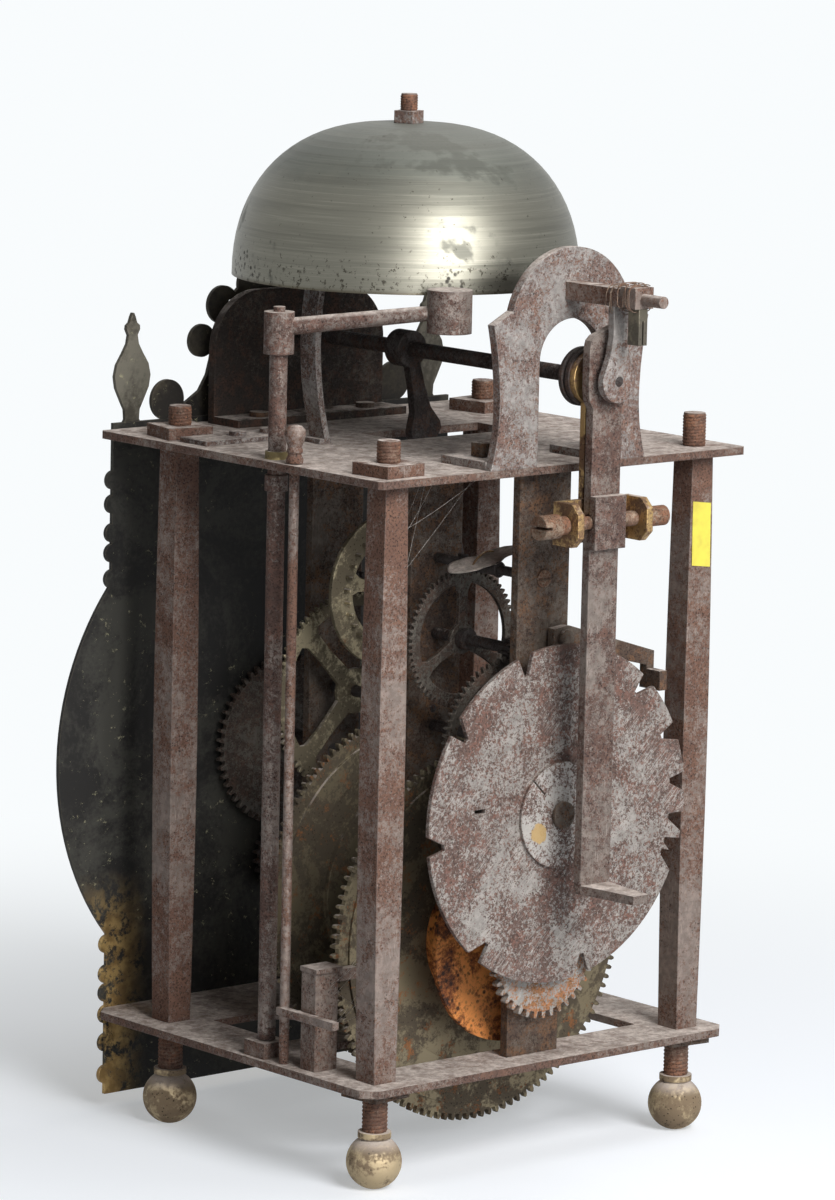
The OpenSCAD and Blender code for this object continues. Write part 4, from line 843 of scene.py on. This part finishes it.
def paper_tag():
    """Lift off the post = 0.25 mm + 0.9 mm * (|u| - 0.6) * (1 - v)^2, on a swell of sin(pi * rise)."""
    low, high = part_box("rear_left_column")
    x_mid, y_face = (low.x + high.x) / 2, high.y
    wide, tall = 9, 17
    u, v = np.meshgrid(np.linspace(-1, 1, wide), np.linspace(0, 1, tall), indexing="ij")
    lift = 0.25 * mm + 0.9 * mm * np.maximum(0, np.abs(u) - 0.6) * (1 - v) ** 2
    z = (SLIP_FOOT + SLIP_HEIGHT * v + 0.8 * u) * mm
    sway = np.sin(np.pi * np.clip((z - floor_low - 4 * mm) / (300 * mm), 0, 1)) - 1
    x = x_mid + (SLIP_HALF + 0.5 * sway) * u * mm
    front = np.stack([x, y_face + 0.5 * mm * sway + lift, z], -1)
    rear = front - np.array([0, 0.12 * mm, 0])
    points = np.concatenate([front, rear[::-1]], 0)
    p = Paint("yellow_paper")
    crease = p.noise(90, 5)
    colour = p.mix(crease.fade(0.4, 0.7), (0.80, 0.71, 0.10), (0.66, 0.55, 0.09))
    paper = p.finish(colour, 0.75 + crease * 0.1, 0.0, crease, 0.3)
    return keep("paper_tag", points, grid_faces(2 * wide, tall, around=False), paper, "frame")


slip = paper_tag()
print("paper slip:", len(slip.data.polygons), "faces")

# %% [markdown]
# ## The fly's wings
# The fly is an air brake, and its wings are thin sheet with a worn, rounded outline and years of
# dust on them. The solid is a plain one of the same reach. Here a leaf shape replaces it: one
# surface above and one below that meet at the rim, a sleeve round the arbor, and a bowed spring.


# %% Wings, sleeve and spring
SLEEVE = 3.9 * mm                   # how far over the arbor's axis the wings lie
WING_TILT = math.radians(17)


def fly_wings(low, high):
    """Depth = half depth * (1 - |u|^3)^(1/2) with three waves in it; height = an S across the wings."""
    middle, half = (low + high) / 2, (high - low) / 2
    rows, half_round = 73, 15
    u, v = np.meshgrid(np.linspace(-1, 1, rows), np.linspace(-1, 1, half_round), indexing="ij")
    outline = np.sqrt(np.maximum(0, 1 - np.abs(u) ** 3)) * (0.92 + 0.08 * np.cos(3 * np.pi * u))
    x = middle.x + (half.x - 1.2 * mm) * u
    y = middle.y + half.y * outline * v
    bend = 1.3 * mm * np.sin(2.2 * u) * (1 - 0.4 * v) + 0.5 * mm * np.cos(5 * u + 2 * v)
    thick = 0.55 * mm * np.sqrt(np.clip(1 - v * v, 0, 1)) * np.minimum(1, 8 * (1 - np.abs(u)))
    z = SLEEVE + bend
    c, s = math.cos(WING_TILT), math.sin(WING_TILT)
    across, rise = x - middle.x, np.stack([z + thick, z - thick])
    x, z = middle.x + across * c + rise * s, middle.z + rise * c - across * s
    top, foot = np.stack([x[0], y, z[0]], -1), np.stack([x[1], y, z[1]], -1)
    points = np.concatenate([top, foot[:, ::-1]], 1)
    return keep("fly_wings", points, grid_faces(rows, 2 * half_round), fly_steel, "fly")


def sleeve(name, profile, x, z, material, body):
    """A closed outline of radius and place along Y, carried once round the arbor."""
    sides = 40
    outline = np.array(profile + profile[:1]) * mm
    angle = np.linspace(0, 2 * np.pi, sides, endpoint=False)
    r, y = outline[:, 0][:, None], outline[:, 1][:, None]
    points = np.stack([x + r * np.cos(angle), y + 0 * angle, z + r * np.sin(angle)], -1)
    return smooth(keep(name, points, grid_faces(len(outline), sides), material, body), 40)


fly_low, fly_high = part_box("fly")
wings = smooth(fly_wings(fly_low, fly_high), 40)
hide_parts("fly")
y0, y1 = fly_low.y / mm, fly_high.y / mm
fly_x, fly_z = (fly_low.x + fly_high.x) / 2, (fly_low.z + fly_high.z) / 2
outline = [(2.6, y0), (3.6, y0), (4.2, y0 + 1), (3.4, y0 + 4),
           (3.4, y1 - 4), (4.2, y1 - 1), (3.6, y1), (2.6, y1)]
sleeve("fly_sleeve", outline, fly_x, fly_z, dark_steel, "fly")
bow = np.linspace(-1, 1, 21)
along, over = 9 * mm * bow, SLEEVE + (0.7 + 2.6 * (1 - bow ** 2)) * mm
spring_x = fly_x + along * math.cos(WING_TILT) + over * math.sin(WING_TILT)
spring_y = (fly_low.y + fly_high.y) / 2 + 2 * mm * bow
spring_z = fly_z + over * math.cos(WING_TILT) - along * math.sin(WING_TILT)
tube("fly_spring", np.stack([spring_x, spring_y, spring_z], -1), 0.6 * mm, yoke_brass, "fly")
print("fly wings:", len(wings.data.polygons), "faces")

# %% [markdown]
# ## Cobwebs
# Fine threads hang between the fixed pieces. Each is a very thin tube that sags as a chain does,
# near enough a parabola, and its ends lie in iron that never moves, so no pose can tear them.
# The spread of the ends comes from sines of the thread's number, so each run gives the same web.


# %% Threads of web
def web_silk(name):
    """Dull silk with dust on it."""
    p = Paint(name)
    dusty = p.noise(500, 3)
    colour = p.mix(dusty.fade(0.4, 0.6), (0.30, 0.27, 0.24), (0.52, 0.49, 0.45))
    return p.finish(colour, 0.7 + dusty * 0.1, 0.0, dusty, 0.2)


def web(name, start, start_spread, end, end_spread, count, sag):
    """Point on thread k = start + (end - start) * t - sag * 4t(1 - t); sines of k move the ends."""
    t = np.linspace(0, 1, 9)[:, None]
    paths = []
    for k in range(count):
        swing = np.sin(np.array([2.4, 3.7, 5.1]) * k + 1)
        a = (np.array(start) + np.array(start_spread) * swing) * mm
        b = (np.array(end) + np.array(end_spread) * np.roll(swing, 1)) * mm
        hang = sag * mm * (0.6 + 0.4 * swing[0])
        paths.append(a + (b - a) * t - np.array([0, 0, 1]) * hang * 4 * t * (1 - t))
    for k, path in enumerate(paths):
        tube(f"{name}_{k + 1}", path, 0.07 * mm, silk, "frame", sides=4)
    return paths


silk = web_silk("web_silk")
deck_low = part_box("top_plate")[0].z / mm
post_low, post_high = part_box("rear_right_column")
post_x = (post_low.x + post_high.x) / 2 / mm - 6
post_y = (post_low.y + post_high.y) / 2 / mm - 5
low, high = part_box("lower_bracket")
bracket_y = (low.y + high.y) / 2 / mm
under_deck = (60, 55, deck_low)
high_on_post, low_on_post = (post_x, post_y, 300), (post_x, post_y, 110)
in_bracket = (106, bracket_y, 85)
threads = web("deck_web", under_deck, (30, 18, 0), high_on_post, (1, 2, 30), count=6, sag=4)
threads += web("foot_web", low_on_post, (1, 2, 25), in_bracket, (2, 3, 14), count=7, sag=5)
print("web threads:", len(threads))

# %% [markdown]
# ## Floor and light
# The clock stands on a pale table before a white ground. The floor is one wide sheet, pale blue
# near the clock, and it fades into white all round. The key lamp is a large soft disc on the right
# of the camera, so that the posts have a light side and a dark side. A weaker lamp high over the
# clock lifts the deck, and a panel that only shows in reflections gives the bell its shine. An even
# sky adds a little light from all sides.


# %% Table
WHITE = (0.945, 0.972, 0.985, 1.0)
TABLE_TONE = (0.620, 0.640, 0.680, 1.0)
TABLE_EDGE = (0.20, 0.85)           # how far from the clock the fade to white starts and ends
TABLE_GLOW = 0.40                   # how much of white the camera sees over the lit table


def table():
    """A flat grid at the height of the feet, whose tone fades to white with the distance."""
    rows, columns = 13, 15
    u, v = np.meshgrid(np.linspace(-6, 6, rows), np.linspace(-9, 5, columns), indexing="ij")
    points = np.stack([u, v, np.zeros_like(u)], -1)
    mesh = bpy.data.meshes.new("table")
    faces = grid_faces(rows, columns, around=False)
    mesh.from_pydata(points.reshape(-1, 3).tolist(), [], faces.tolist())
    p = Paint("pale_table")
    away = p.node("ShaderNodeVectorMath", {"operation": "LENGTH"}, p.place, out="Value")
    near, far = TABLE_EDGE
    camera_ray, glossy_ray, clear_ray = [p.node("ShaderNodeLightPath", out=f"Is {kind} Ray")
                                         for kind in ("Camera", "Glossy", "Transmission")]
    seen = camera_ray | glossy_ray | clear_ray
    lit = p.node("ShaderNodeBsdfDiffuse", None, TABLE_TONE)
    dark = p.node("ShaderNodeEmission", None, WHITE, 0.0)
    glow = p.node("ShaderNodeEmission", None, WHITE, TABLE_GLOW)
    haze = p.node("ShaderNodeMixShader", None, seen, dark, glow)
    close = p.node("ShaderNodeAddShader", None, lit, haze)
    white = p.node("ShaderNodeEmission", None, WHITE, 1.0)
    p.output(p.node("ShaderNodeMixShader", None, seen * away.fade(near, far), close, white))
    mesh.materials.append(p.material)
    floor = bpy.data.objects.new("table", mesh)
    bpy.context.scene.collection.objects.link(floor)
    floor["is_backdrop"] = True
    return floor


print("table:", len(table().data.polygons), "faces")


# %% Lamps and sky
LAMP_DISTANCE = 2.2
MID_HEIGHT = Vector((0, 0, 0.28))   # the point on the clock that every lamp faces


def lamp(name, turn, rise, size, power):
    """A round lamp on a sphere round the clock; turn is to the camera's right, rise above the table."""
    a, b = VIEW_TURN - math.radians(turn), math.radians(rise)
    way = Vector((math.sin(a) * math.cos(b), math.cos(a) * math.cos(b), math.sin(b)))
    data = bpy.data.lights.new(name, "AREA")
    data.shape, data.size, data.energy = "DISK", size, power
    light = bpy.data.objects.new(name, data)
    light.location = MID_HEIGHT + way * LAMP_DISTANCE
    light.rotation_mode = "QUATERNION"
    light.rotation_quaternion = way.to_track_quat("Z", "Y")
    bpy.context.scene.collection.objects.link(light)
    return light


lamp("key_lamp", 33, 33, 1.3, 57)
lamp("top_lamp", 110, 72, 1.3, 16)
lamp("shine_panel", 28, 9, 2.2, 95).visible_diffuse = False
print("lamps:", len(bpy.data.lights))

SKY_LIGHT = 0.05                    # the sky's light on the clock, where the camera sees it as 1
sky = bpy.data.worlds.new("even_sky")
sky.use_nodes = True
bpy.context.scene.world = sky
tree = sky.node_tree
tree.nodes.clear()
path = tree.nodes.new("ShaderNodeLightPath")
seen = path.outputs["Is Camera Ray"]
for kind in ("Is Glossy Ray", "Is Transmission Ray"):
    either = tree.nodes.new("ShaderNodeMath")
    either.operation = "MAXIMUM"
    tree.links.new(seen, either.inputs[0])
    tree.links.new(path.outputs[kind], either.inputs[1])
    seen = either.outputs[0]
level = tree.nodes.new("ShaderNodeMapRange")
level.inputs["To Min"].default_value, level.inputs["To Max"].default_value = SKY_LIGHT, 1.0
tree.links.new(seen, level.inputs["Value"])
ground = tree.nodes.new("ShaderNodeBackground")
ground.inputs["Color"].default_value = WHITE
tree.links.new(level.outputs[0], ground.inputs["Strength"])
end = tree.nodes.new("ShaderNodeOutputWorld")
tree.links.new(ground.outputs[0], end.inputs["Surface"])
bpy.context.scene.view_settings.view_transform = "Standard"

# %% [markdown]
# ## The dressed clock's size
# The box round every shown piece, with the table left out, is measured and printed. The
# dressed clock must stay inside the solids' own box.

# %% Print the dressed clock's box
low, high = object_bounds()
print("visual box:", [round(v, 4) for v in high - low])
